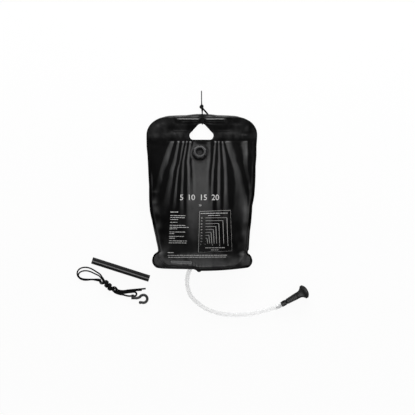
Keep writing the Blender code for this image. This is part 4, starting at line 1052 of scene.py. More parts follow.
@dataclass(frozen=True)
class BagShape:
    """Sizes of the part-filled bag, and the form that the water gives its two sheets."""

    shoulder_half_width: float = 0.2057
    waist_half_width: float = 0.1665
    ear_half_width: float = 0.187
    bottom_half_width: float = 0.144
    shoulder_corner: float = 0.075
    top_y: float = 0.328
    shoulder_y: float = 0.262
    chamber_top_y: float = 0.234
    waist_y: float = -0.168
    ear_y: float = -0.209
    bottom_y: float = -0.246
    bow: float = 0.0085
    bow_start_y: float = -0.19
    left_tuck: float = 0.0062
    weld_raise: float = 0.0068
    back_rise: float = 0.0085
    back_rise_half_width: float = 0.165
    string_pull: float = 0.0040
    string_pull_half_width: float = 0.056
    sheet: float = 0.001
    gap: float = 0.0003
    weld: float = 0.0095
    chamber_corner: float = 0.05
    crown: float = 0.102
    seam: float = 0.043
    outlet_seat: float = 0.027
    handle_edge: float = 0.0047
    front_power: float = 2.3
    back_power: float = 2.4
    back_flat: float = 0.62
    cut_top_y: float = 0.3037
    sleeve_weld_y: float = 0.276
    sleeve_top_y: float = 0.3225
    sleeve_half_width: float = 0.122
    sleeve_puff: float = 0.0022
    filler_seat: Flat = (0.02, 0.155)
    outlet_share: Flat = (0.867, 0.952)
    shares: tuple[tuple[float, float, float, float], ...] = (
        (0.000, 0.214, 0.000, 0.00), (0.020, 0.256, 0.070, 0.41), (0.155, 0.558, 0.224, 1.00),
        (0.240, 0.674, 0.380, 1.00), (0.340, 0.790, 0.534, 1.00), (0.450, 0.884, 0.707, 1.00),
        (0.570, 0.953, 0.862, 1.00), (0.680, 1.000, 0.957, 1.00), (0.740, 1.000, 0.990, 1.00),
        (0.780, 1.000, 1.000, 0.96), (0.820, 0.988, 0.983, 0.80), (0.867, 0.965, 0.922, 0.35),
        (0.910, 0.930, 0.800, 0.32), (0.952, 0.895, 0.595, 0.30), (0.980, 0.872, 0.353, 0.20),
        (1.000, 0.860, 0.000, 0.00),
    )

    @property
    def chamber_bottom_y(self) -> float:
        """Where the chamber's lower weld starts."""
        return self.bottom_y + self.weld

    def half_width(self, y: float) -> float:
        """Half of the bag's width at a nominal y.

        Args:
            y: The nominal y.

        Returns:
            The half width.
        """
        if y >= self.shoulder_y:
            rise = min(1.0, (y - self.shoulder_y) / (self.top_y - self.shoulder_y))
            return self.shoulder_half_width - self.shoulder_corner * (1.0 - math.sqrt(1.0 - rise**2))
        if y >= self.waist_y:
            fall = (self.shoulder_y - y) / (self.shoulder_y - self.waist_y)
            return between(self.shoulder_half_width, self.waist_half_width, fall**2)
        if y >= self.ear_y:
            share = short_of(y, self.waist_y, self.waist_y - self.ear_y)
            return float(between(self.waist_half_width, self.ear_half_width, share))
        fall = min(1.0, (self.ear_y - y) / (self.ear_y - self.bottom_y))
        return between(self.bottom_half_width, self.ear_half_width, math.sqrt(1.0 - fall**2))

    def chamber_half_width(self, y: float) -> float:
        """Half of the water chamber's width at a nominal y.

        Args:
            y: The nominal y.

        Returns:
            The half width.
        """
        inside = self.half_width(max(y, self.waist_y)) - self.weld
        corner = self.chamber_corner
        fall = min(1.0, max(0.0, self.chamber_bottom_y + corner - y) / corner)
        return inside - corner * (1.0 - math.sqrt(1.0 - fall**2))

    def share_at(self, y: float) -> float:
        """How far down the chamber a nominal y is."""
        return (self.chamber_top_y - y) / (self.chamber_top_y - self.chamber_bottom_y)

    def table(self, column: int, share: float) -> float:
        """One column of the shares table, along a smooth curve through its rows.

        Args:
            column: 1 for the seam, 2 for the front's rise, 3 for the back's drop.
            share: How far down the chamber.

        Returns:
            The share of that height.
        """
        rows = self.shares
        share = min(1.0, max(0.0, share))
        index = max(row for row in range(len(rows) - 1) if rows[row][0] <= share)
        start, end = rows[index], rows[index + 1]
        span = end[0] - start[0]
        slopes = []
        for at in (index, index + 1):
            low, high = rows[max(at - 1, 0)], rows[min(at + 1, len(rows) - 1)]
            slopes.append((high[column] - low[column]) / (high[0] - low[0]) * span)
        t = (share - start[0]) / span
        rise = end[column] - start[column]
        bend = (slopes[0] - rise) * (1.0 - t) - (slopes[1] - rise) * t
        value = start[column] + rise * t + t * (1.0 - t) * bend
        return min(max(start[column], end[column]), max(min(start[column], end[column]), value))

    def below_weld(self, y: float) -> float:
        """The y whose heights a nominal y has, so that the rise starts right under the weld line."""
        return y - self.weld_raise * float(past(y, 0.2215, 0.0195) * short_of(y, 0.272, 0.028))

    def seam_height(self, y: float) -> float:
        """The height of the weld's middle at a nominal y.

        Args:
            y: The nominal y.

        Returns:
            The height.
        """
        if y >= self.chamber_top_y:
            top = self.seam * self.table(1, 0.0)
            rise = (y - self.chamber_top_y) / (self.cut_top_y - self.chamber_top_y)
            return float(between(top, self.handle_edge, smoothstep(rise)))
        return self.seam * self.table(1, self.share_at(y))

    def crown_height(self, share: float) -> float:
        """The front's height in its middle, at a share of the way down the chamber.

        Args:
            share: How far down the chamber.

        Returns:
            The height.
        """
        seam = self.seam * self.table(1, share)
        rise = (self.crown - self.seam) * self.table(2, share)
        return seam + self.sheet + self.gap / 2 + rise

    def front_heights(self, x: Any, y: float) -> Any:
        """The heights of the front's outer face across one row.

        Args:
            x: Places across.
            y: The row's nominal y.

        Returns:
            The heights.
        """
        x = np.abs(np.asarray(x, float))
        y = self.below_weld(y)
        edge = self.seam_height(y) + self.sheet + self.gap / 2
        if y >= self.chamber_top_y:
            up = min(1.0, max(0.0, (y - self.sleeve_weld_y) / (self.sleeve_top_y - self.sleeve_weld_y)))
            across = np.minimum(1.0, x / self.sleeve_half_width)
            return edge + self.sleeve_puff * math.sin(math.pi * up) ** 2 * (1.0 - across**4)
        share = self.share_at(y)
        start, end = self.filler_seat
        if start < share < end:
            top = between(self.crown_height(start), self.crown_height(end), (share - start) / (end - start))
        else:
            top = self.crown_height(share)
        across = np.minimum(1.0, x / self.chamber_half_width(y))
        return edge + (top - edge) * (1.0 - across**self.front_power) ** (1.0 / self.front_power)

    def back_heights(self, x: Any, y: float) -> Any:
        """The heights of the back's outer face across one row.

        Args:
            x: Places across.
            y: The row's nominal y.

        Returns:
            The heights.
        """
        x = np.abs(np.asarray(x, float))
        y = self.below_weld(y)
        edge = self.seam_height(y) - self.sheet - self.gap / 2
        if y >= self.chamber_top_y:
            return edge + 0.0 * x
        share = self.share_at(y)
        low = edge * (1.0 - self.table(3, share))
        if self.outlet_share[0] < share + 1e-6 and share - 1e-6 < self.outlet_share[1]:
            low = self.outlet_seat
        across = (x / self.chamber_half_width(y) - self.back_flat) / (1.0 - self.back_flat)
        across = np.clip(across, 0.0, 1.0)
        return edge + (low - edge) * (1.0 - across**self.back_power) ** (1.0 / self.back_power)

    def shifted_y(self, panel: Panel, x: Any, y: float) -> Any:
        """A row's real y across it: the bottom bows, and the back's top edge stands up in the middle.

        Args:
            panel: Which sheet.
            x: Places across.
            y: The row's nominal y.

        Returns:
            The real y at each place.
        """
        x = np.asarray(x, float)
        wide = x / self.bottom_half_width
        tuck = past(-x, 0.012, 0.02) * np.clip(1.0 - wide**2, 0.0, 1.0)
        moved = y + (self.bow * wide**2 + self.left_tuck * tuck) * self.bow_share(y)
        if panel is Panel.FRONT:
            return moved
        share = past(y, self.sleeve_weld_y, self.top_y - self.sleeve_weld_y)
        across = np.minimum(1.0, np.abs(x) / self.back_rise_half_width)
        pulled = self.string_pull * np.clip(1.0 - ((x - 0.001) / self.string_pull_half_width) ** 2, 0.0, 1.0)
        return moved + (self.back_rise * (1.0 - across**3) + pulled) * share

    def bow_share(self, y: float) -> float:
        """How much of the bottom's bow a nominal y has."""
        return float(short_of(y, self.bow_start_y, self.bow_start_y - self.bottom_y))

    def filler_frame(self) -> Matrix:
        """The filler's place on the front, with its Z square to the sheet.

        Returns:
            The place.
        """
        top, bottom = self.chamber_top_y, self.chamber_bottom_y
        low, high = (
            Vector((-0.0065, between(top, bottom, share), self.crown_height(share)))
            for share in self.filler_seat
        )
        tilt = math.atan2(high.z - low.z, low.y - high.y)
        return Matrix.Translation((high + low) / 2) @ Matrix.Rotation(-tilt, 4, "X")


@dataclass(frozen=True)
class Folds:
    """Folds that run down the front from its upper weld."""

    stations: tuple[float, ...] = (0.2375, 0.1608, 0.1272, 0.0524, -0.0187)
    depth: float = 0.00145
    top: float = 0.2412
    clear_of_filler: float = 0.0325
    # Each line's places across at the stations, and how far up or down it stands there
    lines: tuple[tuple[tuple[float, ...], tuple[float, ...]], ...] = (
        ((-0.1852, -0.1862, -0.1870, -0.1871, -0.1871), (-0.4, -0.4, -0.3, 0.0, 0.0)),
        ((-0.1352, -0.1602, -0.1717, -0.1821, -0.1851), (-1.0, -1.0, -0.8, -0.2, 0.0)),
        ((-0.1047, -0.1365, -0.1496, -0.1664, -0.1739), (0.9, 0.9, 0.7, 0.3, 0.0)),
        ((-0.0965, -0.1152, -0.1279, -0.1421, -0.1552), (-0.9, -0.7, -0.7, -0.4, 0.0)),
        ((-0.0856, -0.0995, -0.1088, -0.1215, -0.1328), (1.0, 1.0, 1.0, 0.7, 0.1)),
        ((-0.0759, -0.0871, -0.0972, -0.1058, -0.1141), (-1.0, -0.8, -1.0, -0.8, -0.1)),
        ((-0.0677, -0.0808, -0.0886, -0.0965, -0.1028), (1.0, 0.6, 0.9, 0.8, 0.1)),
        ((-0.0598, -0.0748, -0.0797, -0.0849, -0.0879), (-1.0, -0.6, -1.0, -1.0, -0.2)),
        ((-0.0550, -0.0684, -0.0707, -0.0733, -0.0748), (0.9, 1.0, 1.0, 0.9, 0.2)),
        ((-0.0486, -0.0598, -0.0591, -0.0613, -0.0617), (-0.9, -1.0, -1.0, -0.8, -0.2)),
        ((-0.0411, -0.0512, -0.0486, -0.0467, -0.0467), (0.8, 1.0, 0.9, 0.4, 0.1)),
        ((-0.0344, -0.0408, -0.0381, -0.0374, -0.0374), (-0.5, -0.8, -0.7, -0.2, 0.0)),
        ((-0.0280, -0.0318, -0.0299, -0.0280, -0.0280), (0.2, 0.4, 0.3, 0.1, 0.0)),
        ((-0.0168, -0.0187, -0.0168, -0.0168, -0.0168), (0.0, 0.0, 0.0, 0.0, 0.0)),
        ((0.0131, 0.0131, 0.0112, 0.0093, 0.0093), (0.0, 0.0, 0.0, 0.0, 0.0)),
        ((0.0262, 0.0273, 0.0228, 0.0206, 0.0206), (0.1, 0.4, 0.3, 0.1, 0.0)),
        ((0.0441, 0.0378, 0.0333, 0.0318, 0.0318), (-0.8, -0.8, -0.8, -0.4, 0.0)),
        ((0.0524, 0.0456, 0.0423, 0.0393, 0.0374), (1.0, 1.0, 0.9, 0.5, 0.1)),
        ((0.0587, 0.0554, 0.0520, 0.0512, 0.0505), (-0.9, -1.0, -1.0, -0.9, -0.2)),
        ((0.0643, 0.0666, 0.0654, 0.0640, 0.0636), (0.8, 1.0, 1.0, 1.0, 0.3)),
        ((0.0703, 0.0752, 0.0770, 0.0770, 0.0767), (-0.9, -0.9, -1.0, -1.0, -0.3)),
        ((0.0782, 0.0860, 0.0890, 0.0905, 0.0916), (1.0, 1.0, 1.0, 1.0, 0.3)),
        ((0.0834, 0.1021, 0.1036, 0.1066, 0.1103), (-0.6, -0.8, -0.9, -0.8, -0.3)),
        ((0.0898, 0.1178, 0.1343, 0.1496, 0.1616), (0.7, 0.7, 0.9, 1.0, 0.6)),
        ((0.1290, 0.1459, 0.1563, 0.1683, 0.1777), (-0.4, -0.5, -0.4, -0.4, -0.2)),
        ((0.1676, 0.1687, 0.1702, 0.1795, 0.1851), (0.8, 0.9, 0.4, 0.1, 0.0)),
        ((0.1769, 0.1784, 0.1795, 0.1851, 0.1889), (-0.9, -0.9, -0.5, -0.1, 0.0)),
        ((0.1926, 0.1907, 0.1907, 0.1907, 0.1907), (0.0, 0.0, 0.0, 0.0, 0.0)),
    )

    def row(self, x: np.ndarray, y: float) -> tuple[np.ndarray, np.ndarray]:
        """How far the folds stand across one row, from -1 to 1.

        Args:
            x: Places across, in order.
            y: The row's y.

        Returns:
            The shares of the folds' depth, with sharp hollows, and of their painted light and shade, with
            wide ones.
        """
        stations = np.array(self.stations[::-1])
        places = np.array([np.interp(y, stations, across[::-1]) for across, _ in self.lines])
        heights = np.array([np.interp(y, stations, up[::-1]) for _, up in self.lines])
        index = np.clip(np.searchsorted(places, x) - 1, 0, len(places) - 2)
        share = np.clip((x - places[index]) / (places[index + 1] - places[index]), 0.0, 1.0)
        ends = heights[index], heights[index + 1]
        low, high = np.minimum(*ends), np.maximum(*ends)
        climb = np.where(heights[index + 1] > heights[index], share, 1.0 - share)
        start = short_of(y, self.top, 0.0085)
        fade = past(y, -0.085, 0.07)
        stand = low + (high - low) * (1.0 - (1.0 - climb) ** 3)
        tone = low + (high - low) * smoothstep(climb)
        return stand * start * fade, tone * start * fade


@dataclass(frozen=True)
class BagSkin:
    """The two sheets as fine skins, with their folds, weld bands, ears and openings."""

    shape: BagShape = BagShape()
    folds: Folds = Folds()
    front_step: float = 0.0019
    back_step: float = 0.0042
    flange_columns: int = 7
    cut_out: tuple[Flat, ...] = (
        (-0.040, 0.2440), (-0.047, 0.263), (-0.009, 0.3037), (0.009, 0.3037), (0.047, 0.263), (0.040, 0.2440)
    )
    # How far the left and right sides swing out from their smooth line, by y
    swings: tuple[Point, ...] = (
        (0.3290, 0.0, 0.0015), (0.3120, 0.0, 0.0030), (0.2560, 0.0, 0.0024), (0.2190, 0.0, 0.0003),
        (0.1830, -0.0028, 0.0010), (0.1450, -0.0033, -0.0008), (0.1080, -0.0029, 0.0010),
        (0.0710, -0.0023, 0.0020), (0.0340, 0.0009, 0.0024), (0.0150, 0.0025, 0.0008),
        (-0.0040, 0.0032, -0.0012), (-0.0230, 0.0038, 0.0002), (-0.0420, 0.0024, 0.0010),
        (-0.0610, 0.0002, 0.0021), (-0.0970, -0.0018, 0.0026),
    )
    # The lower outline's distance from the middle on the left and the right, by y
    lobes: tuple[Point, ...] = (
        (-0.0970, 0.1765, 0.1810), (-0.1160, 0.1719, 0.1795), (-0.1345, 0.1684, 0.1783),
        (-0.1530, 0.1640, 0.1772), (-0.1660, 0.1621, 0.1764), (-0.1700, 0.1618, 0.1733),
        (-0.1743, 0.1622, 0.1728), (-0.1777, 0.1690, 0.1729), (-0.1810, 0.1735, 0.1735),
        (-0.1840, 0.1765, 0.1792), (-0.1904, 0.1799, 0.1844), (-0.1980, 0.1829, 0.1876),
        (-0.2057, 0.1840, 0.1898), (-0.2136, 0.1833, 0.1893), (-0.2206, 0.1808, 0.1866),
        (-0.2276, 0.1758, 0.1820), (-0.2323, 0.1702, 0.1760), (-0.2356, 0.1623, 0.1685),
        (-0.2380, 0.1500, 0.1470),
    )
    # Painted highlights, with positive amounts, and painted shade, with negative ones: x, y, half width, half
    # length, amount
    marks: tuple[tuple[float, float, float, float, float], ...] = (
        (0.0160, 0.2030, 0.0170, 0.0300, -0.34), (-0.0050, 0.2330, 0.0330, 0.0070, -0.30),
        (0.1672, 0.2040, 0.0050, 0.0260, 0.45), (0.1610, -0.0060, 0.0170, 0.0440, 0.36),
        (0.1230, 0.0200, 0.0110, 0.0480, 0.15), (-0.0490, 0.2200, 0.0110, 0.0150, -0.14),
        (-0.0950, 0.2720, 0.0220, 0.0080, 0.22), (0.1000, 0.2720, 0.0300, 0.0080, 0.20),
        (0.1500, 0.1200, 0.0100, 0.0700, -0.10), (-0.1570, 0.2070, 0.0120, 0.0050, 0.22),
        (-0.1806, 0.1855, 0.0060, 0.0050, 0.20), (-0.1720, 0.0500, 0.0120, 0.0050, 0.24),
        (-0.1717, 0.0112, 0.0090, 0.0050, 0.20), (-0.1630, 0.2970, 0.0070, 0.0090, 0.40),
        (-0.1450, 0.3050, 0.0120, 0.0050, 0.30), (0.1570, 0.2625, 0.0120, 0.0035, 0.30),
        (0.1300, 0.3020, 0.0200, 0.0050, 0.22), (0.1680, 0.2860, 0.0070, 0.0100, 0.25),
        (-0.0040, -0.0800, 0.0520, 0.0500, 0.13), (-0.0900, -0.0720, 0.0350, 0.0520, 0.13),
        (-0.0750, -0.1580, 0.0500, 0.0140, 0.15), (0.0780, -0.0420, 0.0200, 0.0240, 0.16),
        (0.1420, 0.0100, 0.0110, 0.0320, 0.12), (-0.1700, -0.2060, 0.0110, 0.0120, 0.35),
        (0.1300, -0.0300, 0.0220, 0.0600, 0.08), (0.0600, 0.0100, 0.0280, 0.0320, 0.11),
        (0.0000, -0.1650, 0.1200, 0.0070, 0.07),
    )
    cut_corner: float = 0.0115
    ear_curl: float = 0.0075
    edge_wave: float = 0.0012
    pucker_depth: float = 0.0016
    drape_depth: float = 0.0016
    ripple_depth: float = 0.0006
    handle_ripple: float = 0.0014
    roll_height: float = 0.0062
    weld_ridge: float = 0.0004
    second_ridge: float = 0.0007
    fan_depth: float = 0.0009
    back_tuck: float = 0.0024
    string_x: float = 0.003
    # From column_x to lobe_gleam, where painted light and shade lie on the front: a paler middle column, a
    # highlight and a shade line along the top edge, a highlight band low down and a highlight on each lower
    # lobe.
    column_x: float = -0.0075
    column_half_width: float = 0.053
    column_top_y: float = 0.240
    edge_gleam_y: float = 0.3218
    edge_shade_y: float = 0.3268
    low_band_y: float = -0.192
    lobe_gleam: Flat = (0.154, -0.210)
    roll_ends: Flat = (-0.104, 0.0880)
    roll_ys: Flat = (0.3040, 0.3282)
    filler_spot: Flat = (-0.0065, 0.1930)
    # The weld lines across the handle: y and half width
    weld_lines: tuple[Flat, ...] = ((0.2425, 0.0030), (0.276, 0.003), (0.3245, 0.004))
    neck_hole: float = 0.0203
    outlet_hole: float = 0.0088
    outlet: Point = (-0.011, -0.194, 0.027)

    def column_shares(self, count: int, power: float, flat: float) -> np.ndarray:
        """Shares of the way across to the weld, evenly spaced along the sheet itself.

        Args:
            count: Columns from the middle to the weld.
            power: The power of the sheet's curve.
            flat: The share of the way that is flat.

        Returns:
            The shares.
        """
        fine = np.linspace(0.0, 1.0, 2001)
        across = np.clip((fine - flat) / (1.0 - flat), 0.0, 1.0)
        height = 0.34 * (1.0 - across**power) ** (1.0 / power)
        along = measured(np.stack([fine, height], axis=1))
        return np.interp(np.linspace(0.0, along[-1], count + 1), along, fine)

    def row_places(self, step: float) -> np.ndarray:
        """Nominal y of each row, evenly spaced along the front's crown.

        Args:
            step: The distance between rows.

        Returns:
            The places, from the top down.
        """
        fine = np.linspace(self.shape.top_y, self.shape.bottom_y, 1600)
        height = np.array([float(self.shape.front_heights(0.0, y)) for y in fine])
        along = measured(np.stack([fine, height], axis=1))
        rows = np.interp(np.linspace(0.0, along[-1], round(along[-1] / step) + 1), along, fine)
        fixed = (self.shape.chamber_top_y, self.shape.chamber_bottom_y, self.shape.sleeve_weld_y)
        for y in fixed:
            rows[np.abs(rows - y).argmin()] = y
        return rows

    def row_across(self, y: float, shares: np.ndarray) -> np.ndarray:
        """Places across one row, from the left edge to the right edge.

        Args:
            y: The row's nominal y.
            shares: Shares of the way to the weld.

        Returns:
            The places.
        """
        inner = self.shape.chamber_half_width(y) * shares
        outer = self.shape.half_width(y)
        flange = inner[-1] + (outer - inner[-1]) * np.arange(1, self.flange_columns + 1) / self.flange_columns
        right = np.concatenate([inner, flange])
        return np.concatenate([-right[:0:-1], right])

    def reach(self, y: float, column: int) -> float:
        """How far out the outline lies at a nominal y.

        Args:
            y: The nominal y.
            column: 1 for the left side, 2 for the right side.

        Returns:
            The distance from the middle.
        """
        shape = self.shape
        wanted = shape.half_width(y)
        if y > self.lobes[0][0]:
            return wanted + self.read(self.swings, y, column)
        for _ in range(14):
            real = y + shape.bow * shape.bow_share(y) * (wanted / shape.bottom_half_width) ** 2
            wanted = (wanted + self.read(self.lobes, real, column)) / 2
        return wanted

    @staticmethod
    def read(table: Sequence[Point], y: float, column: int) -> float:
        """One column of a table whose rows go down from the top."""
        rows = table[::-1]
        return float(np.interp(y, [row[0] for row in rows], [row[column] for row in rows]))

    def outlined(self, x: np.ndarray, y: float) -> np.ndarray:
        """A row's places across, drawn out or in to the bag's real outline.

        Args:
            x: Places across.
            y: The row's nominal y.

        Returns:
            The new places.
        """
        outer = self.shape.half_width(y)
        out = [self.reach(y, column) - outer for column in (1, 2)]
        pull = np.where(x < 0.0, -out[0], out[1])
        return x + pull * (np.abs(x) / outer) ** 3

    def rimmed(self, grid: np.ndarray, painted_light_and_wear_rows: Sequence[np.ndarray]) -> list[np.ndarray]:
        """The front's tone with its dark outer rim and painted highlight lines along the lower sides.

        Args:
            grid: The places of every row.
            painted_light_and_wear_rows: The tone of every row.

        Returns:
            The tones, row by row.
        """
        edge = np.concatenate([grid[:, 0], grid[:, -1], grid[-1]])[:, :2]
        toned = []
        for row, crest in zip(grid, painted_light_and_wear_rows):
            gap = np.sqrt(((row[:, None, :2] - edge[None]) ** 2).sum(axis=2).min(axis=1))
            x, y = row[:, 0], row[:, 1]
            lower = short_of(y, -0.070, 0.03) * past(y, -0.176, 0.008)
            lobe = past(np.abs(x), 0.148, 0.014) * short_of(y, -0.1725, 0.005)
            # Painted highlight lines just inside the lower side edges.
            bright = np.where(x < 0.0, 1.0 * bell(gap - 0.001, 0.0065), 0.95 * bell(gap - 0.0068, 0.0022))
            bottom = short_of(np.abs(x), 0.147, 0.008) * short_of(y, -0.190, 0.01)
            width = 0.0020 + 0.0042 * lobe + np.where(x > 0.0, 0.0026, -0.0036) * lower - 0.0017 * bottom
            rim = smoothstep((width - gap) / 0.0022 + 0.5)
            toned.append(between(crest + bright * lower, 0.02, rim))
        return toned

    def flange_lift(self, x: np.ndarray, y: float) -> np.ndarray:
        """The slight wave of the weld band and the curl of the ears, the same for both sheets.

        Args:
            x: Places across.
            y: The row's nominal y.

        Returns:
            The added height at each place.
        """
        shape = self.shape
        inner, outer = shape.chamber_half_width(y), shape.half_width(y)
        if y >= shape.chamber_top_y:
            inside = past(np.abs(x), 0.12, 0.05)
        else:
            inside = past(np.abs(x), inner, max(0.004, outer - inner))
        wave = np.array([noise.noise(Vector((place * 22.0, y * 22.0, 3.7))) for place in x])
        ear = short_of(y, shape.waist_y + 0.004, 0.02) * past(np.abs(x), 0.150, 0.03)
        puff = bell(np.abs(x) - 0.1665, 0.0125) * bell(y - shape.ear_y - 0.002, 0.021)
        curl = self.ear_curl * ear * puff
        return self.edge_wave * wave * inside + curl

    def puckers(self, x: np.ndarray, y: float) -> np.ndarray:
        """Short creases square to the side welds and the lower weld, from -1 to 1.

        Args:
            x: Places across.
            y: The row's nominal y.

        Returns:
            The creases' share at each place.
        """
        shape = self.shape
        inner = shape.chamber_half_width(y)
        near = bell(np.abs(x) - (inner - 0.016), 0.014)
        side = 11.0 if y > 0.0 else 12.0
        beat = np.array([noise.noise(Vector((math.copysign(side, place), y * 34.0, 2.0))) for place in x])
        spans = short_of(y, 0.222, 0.02) * past(y, -0.16, 0.03)
        off = x + 0.026
        waves = np.sin(math.tau * (x - self.string_x) / (0.011 + 0.06 * np.abs(off)))
        ends = bell(y + 0.228, 0.012) * waves * bell(off, 0.05)
        return 0.9 * near * beat * spans + 0.5 * ends

    def front_lift(self, x: np.ndarray, y: float, real_y: np.ndarray) -> tuple[np.ndarray, np.ndarray]:
        """What the folds, puckers and weld lines add to the front.

        Args:
            x: Places across.
            y: The row's nominal y.
            real_y: The row's real y at each place.

        Returns:
            The added height in metres, and the painted light and wear value from 0 to 1.
        """
        shape = self.shape
        inner = shape.chamber_half_width(y)
        small = np.array([noise.fractal(Vector((place * 26.0, y * 15.0, 0.4)), 1.0, 2.1, 3) for place in x])
        base_light = self.base_painted_light(x, y, small)
        if y >= self.folds.top:
            rough = self.handle_ripple * small * past(np.abs(x), 0.02, 0.05)
            return self.handle_lift(x, y) + rough, np.clip(base_light, 0.0, 1.6)
        weld = short_of(np.abs(x), inner, 0.012) * past(y, shape.chamber_bottom_y, 0.01)
        stand, tone = self.folds.row(x, y)
        off_filler = np.hypot(x - self.filler_spot[0], real_y - self.filler_spot[1])
        away = weld * past(off_filler, self.folds.clear_of_filler, 0.008)
        puckers = self.puckers(x, y)
        drape = np.array([noise.fractal(Vector((place * 24.0, y * 6.0, 8.3)), 1.0, 2.0, 2) for place in x])
        outer = past(np.abs(x + 0.005), 0.07, 0.05) * short_of(y, shape.chamber_top_y, 0.02)
        lift = self.folds.depth * stand + self.pucker_depth * puckers + self.ripple_depth * small
        lift = (lift + self.drape_depth * outer * drape) * away
        # The folds and puckers also paint light on their crests and shade in their hollows.
        return lift, np.clip(base_light + (0.52 * tone + 0.30 * puckers) * away, 0.0, 1.6)

    def base_painted_light(self, x: np.ndarray, y: float, small: np.ndarray) -> np.ndarray:
        """The front's painted light and shade where no fold changes it, over a random tone.

        Args:
            x: Places across.
            y: The row's nominal y.
            small: Soft noise at each place.

        Returns:
            The painted light and wear value from 0 to 1.
        """
        shape = self.shape
        side = np.abs(x)
        # Painted light and shade: a paler middle column and lower middle, a paler handle zone, a painted
        # highlight and a painted shade line along the top edge beside the string, a painted highlight band
        # low down, the listed marks, paler ears with a painted highlight, and painted light on the end face.
        # A darker line lies just below the upper weld, the weld band is set darker, and a random tone is
        # added.
        from_column = np.abs(x - self.column_x)
        column = short_of(from_column, self.column_half_width, 0.016) * short_of(y, self.column_top_y, 0.006)
        low = short_of(y, -0.09, 0.04) * short_of(side, 0.145, 0.02)
        tone = 0.20 + 0.26 * column * (0.5 + 0.5 * past(y, -0.170, 0.08)) + 0.16 * small + 0.05 * low
        tone = tone + 0.05 * past(y, 0.244, 0.01) - 0.09 * bell(y - 0.2385, 0.0042)
        beside = past(self.off_string(x), 0.006, 0.016) * short_of(side, 0.094, 0.006)
        edge = 0.75 * bell(y - self.edge_gleam_y, 0.0021) - 0.30 * bell(y - self.edge_shade_y, 0.0020)
        tone = tone + edge * beside
        band = 0.16 - 0.05 * past(x, -0.060, 0.02)
        tone = tone + band * bell(y - self.low_band_y, 0.012) + 0.08 * short_of(y, -0.195, 0.02)
        for mark_x, mark_y, wide, long, amount in self.marks:
            tone = tone + amount * bell(x - mark_x, wide) * bell(y - mark_y, long)
        if y < shape.chamber_top_y:
            band = smoothstep((side - shape.chamber_half_width(y) + 0.001) / 0.002)
            tone = between(tone, 0.12, band * past(y, shape.waist_y, 0.01))
        lobe = past(side, 0.134, 0.018) * short_of(y, shape.waist_y, 0.014)
        gleam_x, gleam_y = self.lobe_gleam
        gleam = np.where(x < 0.0, 0.75, 0.4) * bell(side - gleam_x, 0.010) * bell(y - gleam_y, 0.011)
        tone = between(tone, 0.98 + gleam, lobe)
        end = 0.60 - 0.20 * past(x, -0.045, 0.02)
        return between(tone, end, short_of(y, shape.chamber_bottom_y + 0.004, 0.004))

    def off_string(self, x: np.ndarray) -> np.ndarray:
        """How far to the side of the hanging string places are."""
        return np.abs(x - self.string_x)

    def handle_lift(self, x: np.ndarray, y: float) -> np.ndarray:
        """The rolled top edge, the two weld lines and the pull of the string in the handle zone.

        Args:
            x: Places across.
            y: The row's nominal y.

        Returns:
            The added height at each place.
        """
        by_string = past(self.off_string(x), 0.004, 0.016)
        span = past(x, self.roll_ends[0], 0.034) * short_of(x, self.roll_ends[1], 0.006)
        roll = short_of(y, self.roll_ys[1], 0.0090) * past(y, self.roll_ys[0], 0.0150)
        lift = self.roll_height * roll * span * by_string
        lines = [y - line for line, _ in self.weld_lines]
        weld = self.weld_ridge * bell(lines[0], 0.0012) * short_of(np.abs(x - 0.009), 0.142, 0.01)
        second = short_of(np.abs(x), 0.108, 0.006) * past(np.abs(x), 0.05, 0.006)
        lift = lift + weld + self.second_ridge * bell(lines[1], 0.0014) * second
        fan = np.sin(math.tau * (y - 0.312) / (0.010 + 0.16 * self.off_string(x)))
        pull = bell(x - self.string_x, 0.034) * past(y, 0.288, 0.01) * short_of(y, 0.326, 0.006)
        return lift + self.fan_depth * fan * pull * by_string

    def build(self, panel: Panel) -> bpy.types.Mesh:
        """One sheet's outer face, before it gets its thickness.

        Args:
            panel: Which sheet.

        Returns:
            The mesh, with its painted light and wear values and its weld values.
        """
        shape = self.shape
        front = panel is Panel.FRONT
        step = self.front_step if front else self.back_step
        rows = self.row_places(step)
        count = round(shape.shoulder_half_width * (1.12 if front else 1.02) / step)
        power, flat = (shape.front_power, 0.0) if front else (shape.back_power, shape.back_flat)
        shares = self.column_shares(count, power, flat)
        places, painted_light_and_wear_rows, welds = [], [], []
        for y in rows:
            x = self.row_across(y, shares)
            real_x = self.outlined(x, y)
            real_y = shape.shifted_y(panel, real_x, y)
            shared = self.flange_lift(x, y)
            if front:
                added, crest = self.front_lift(x, y, real_y)
                height = shape.front_heights(x, y) + shared + added
            else:
                height = shape.back_heights(x, y) + shared
                aside = past(self.off_string(x), 0.008, 0.02) * short_of(np.abs(x), 0.15, 0.03)
                height = height - self.back_tuck * aside * past(real_y, 0.3235, 0.011)
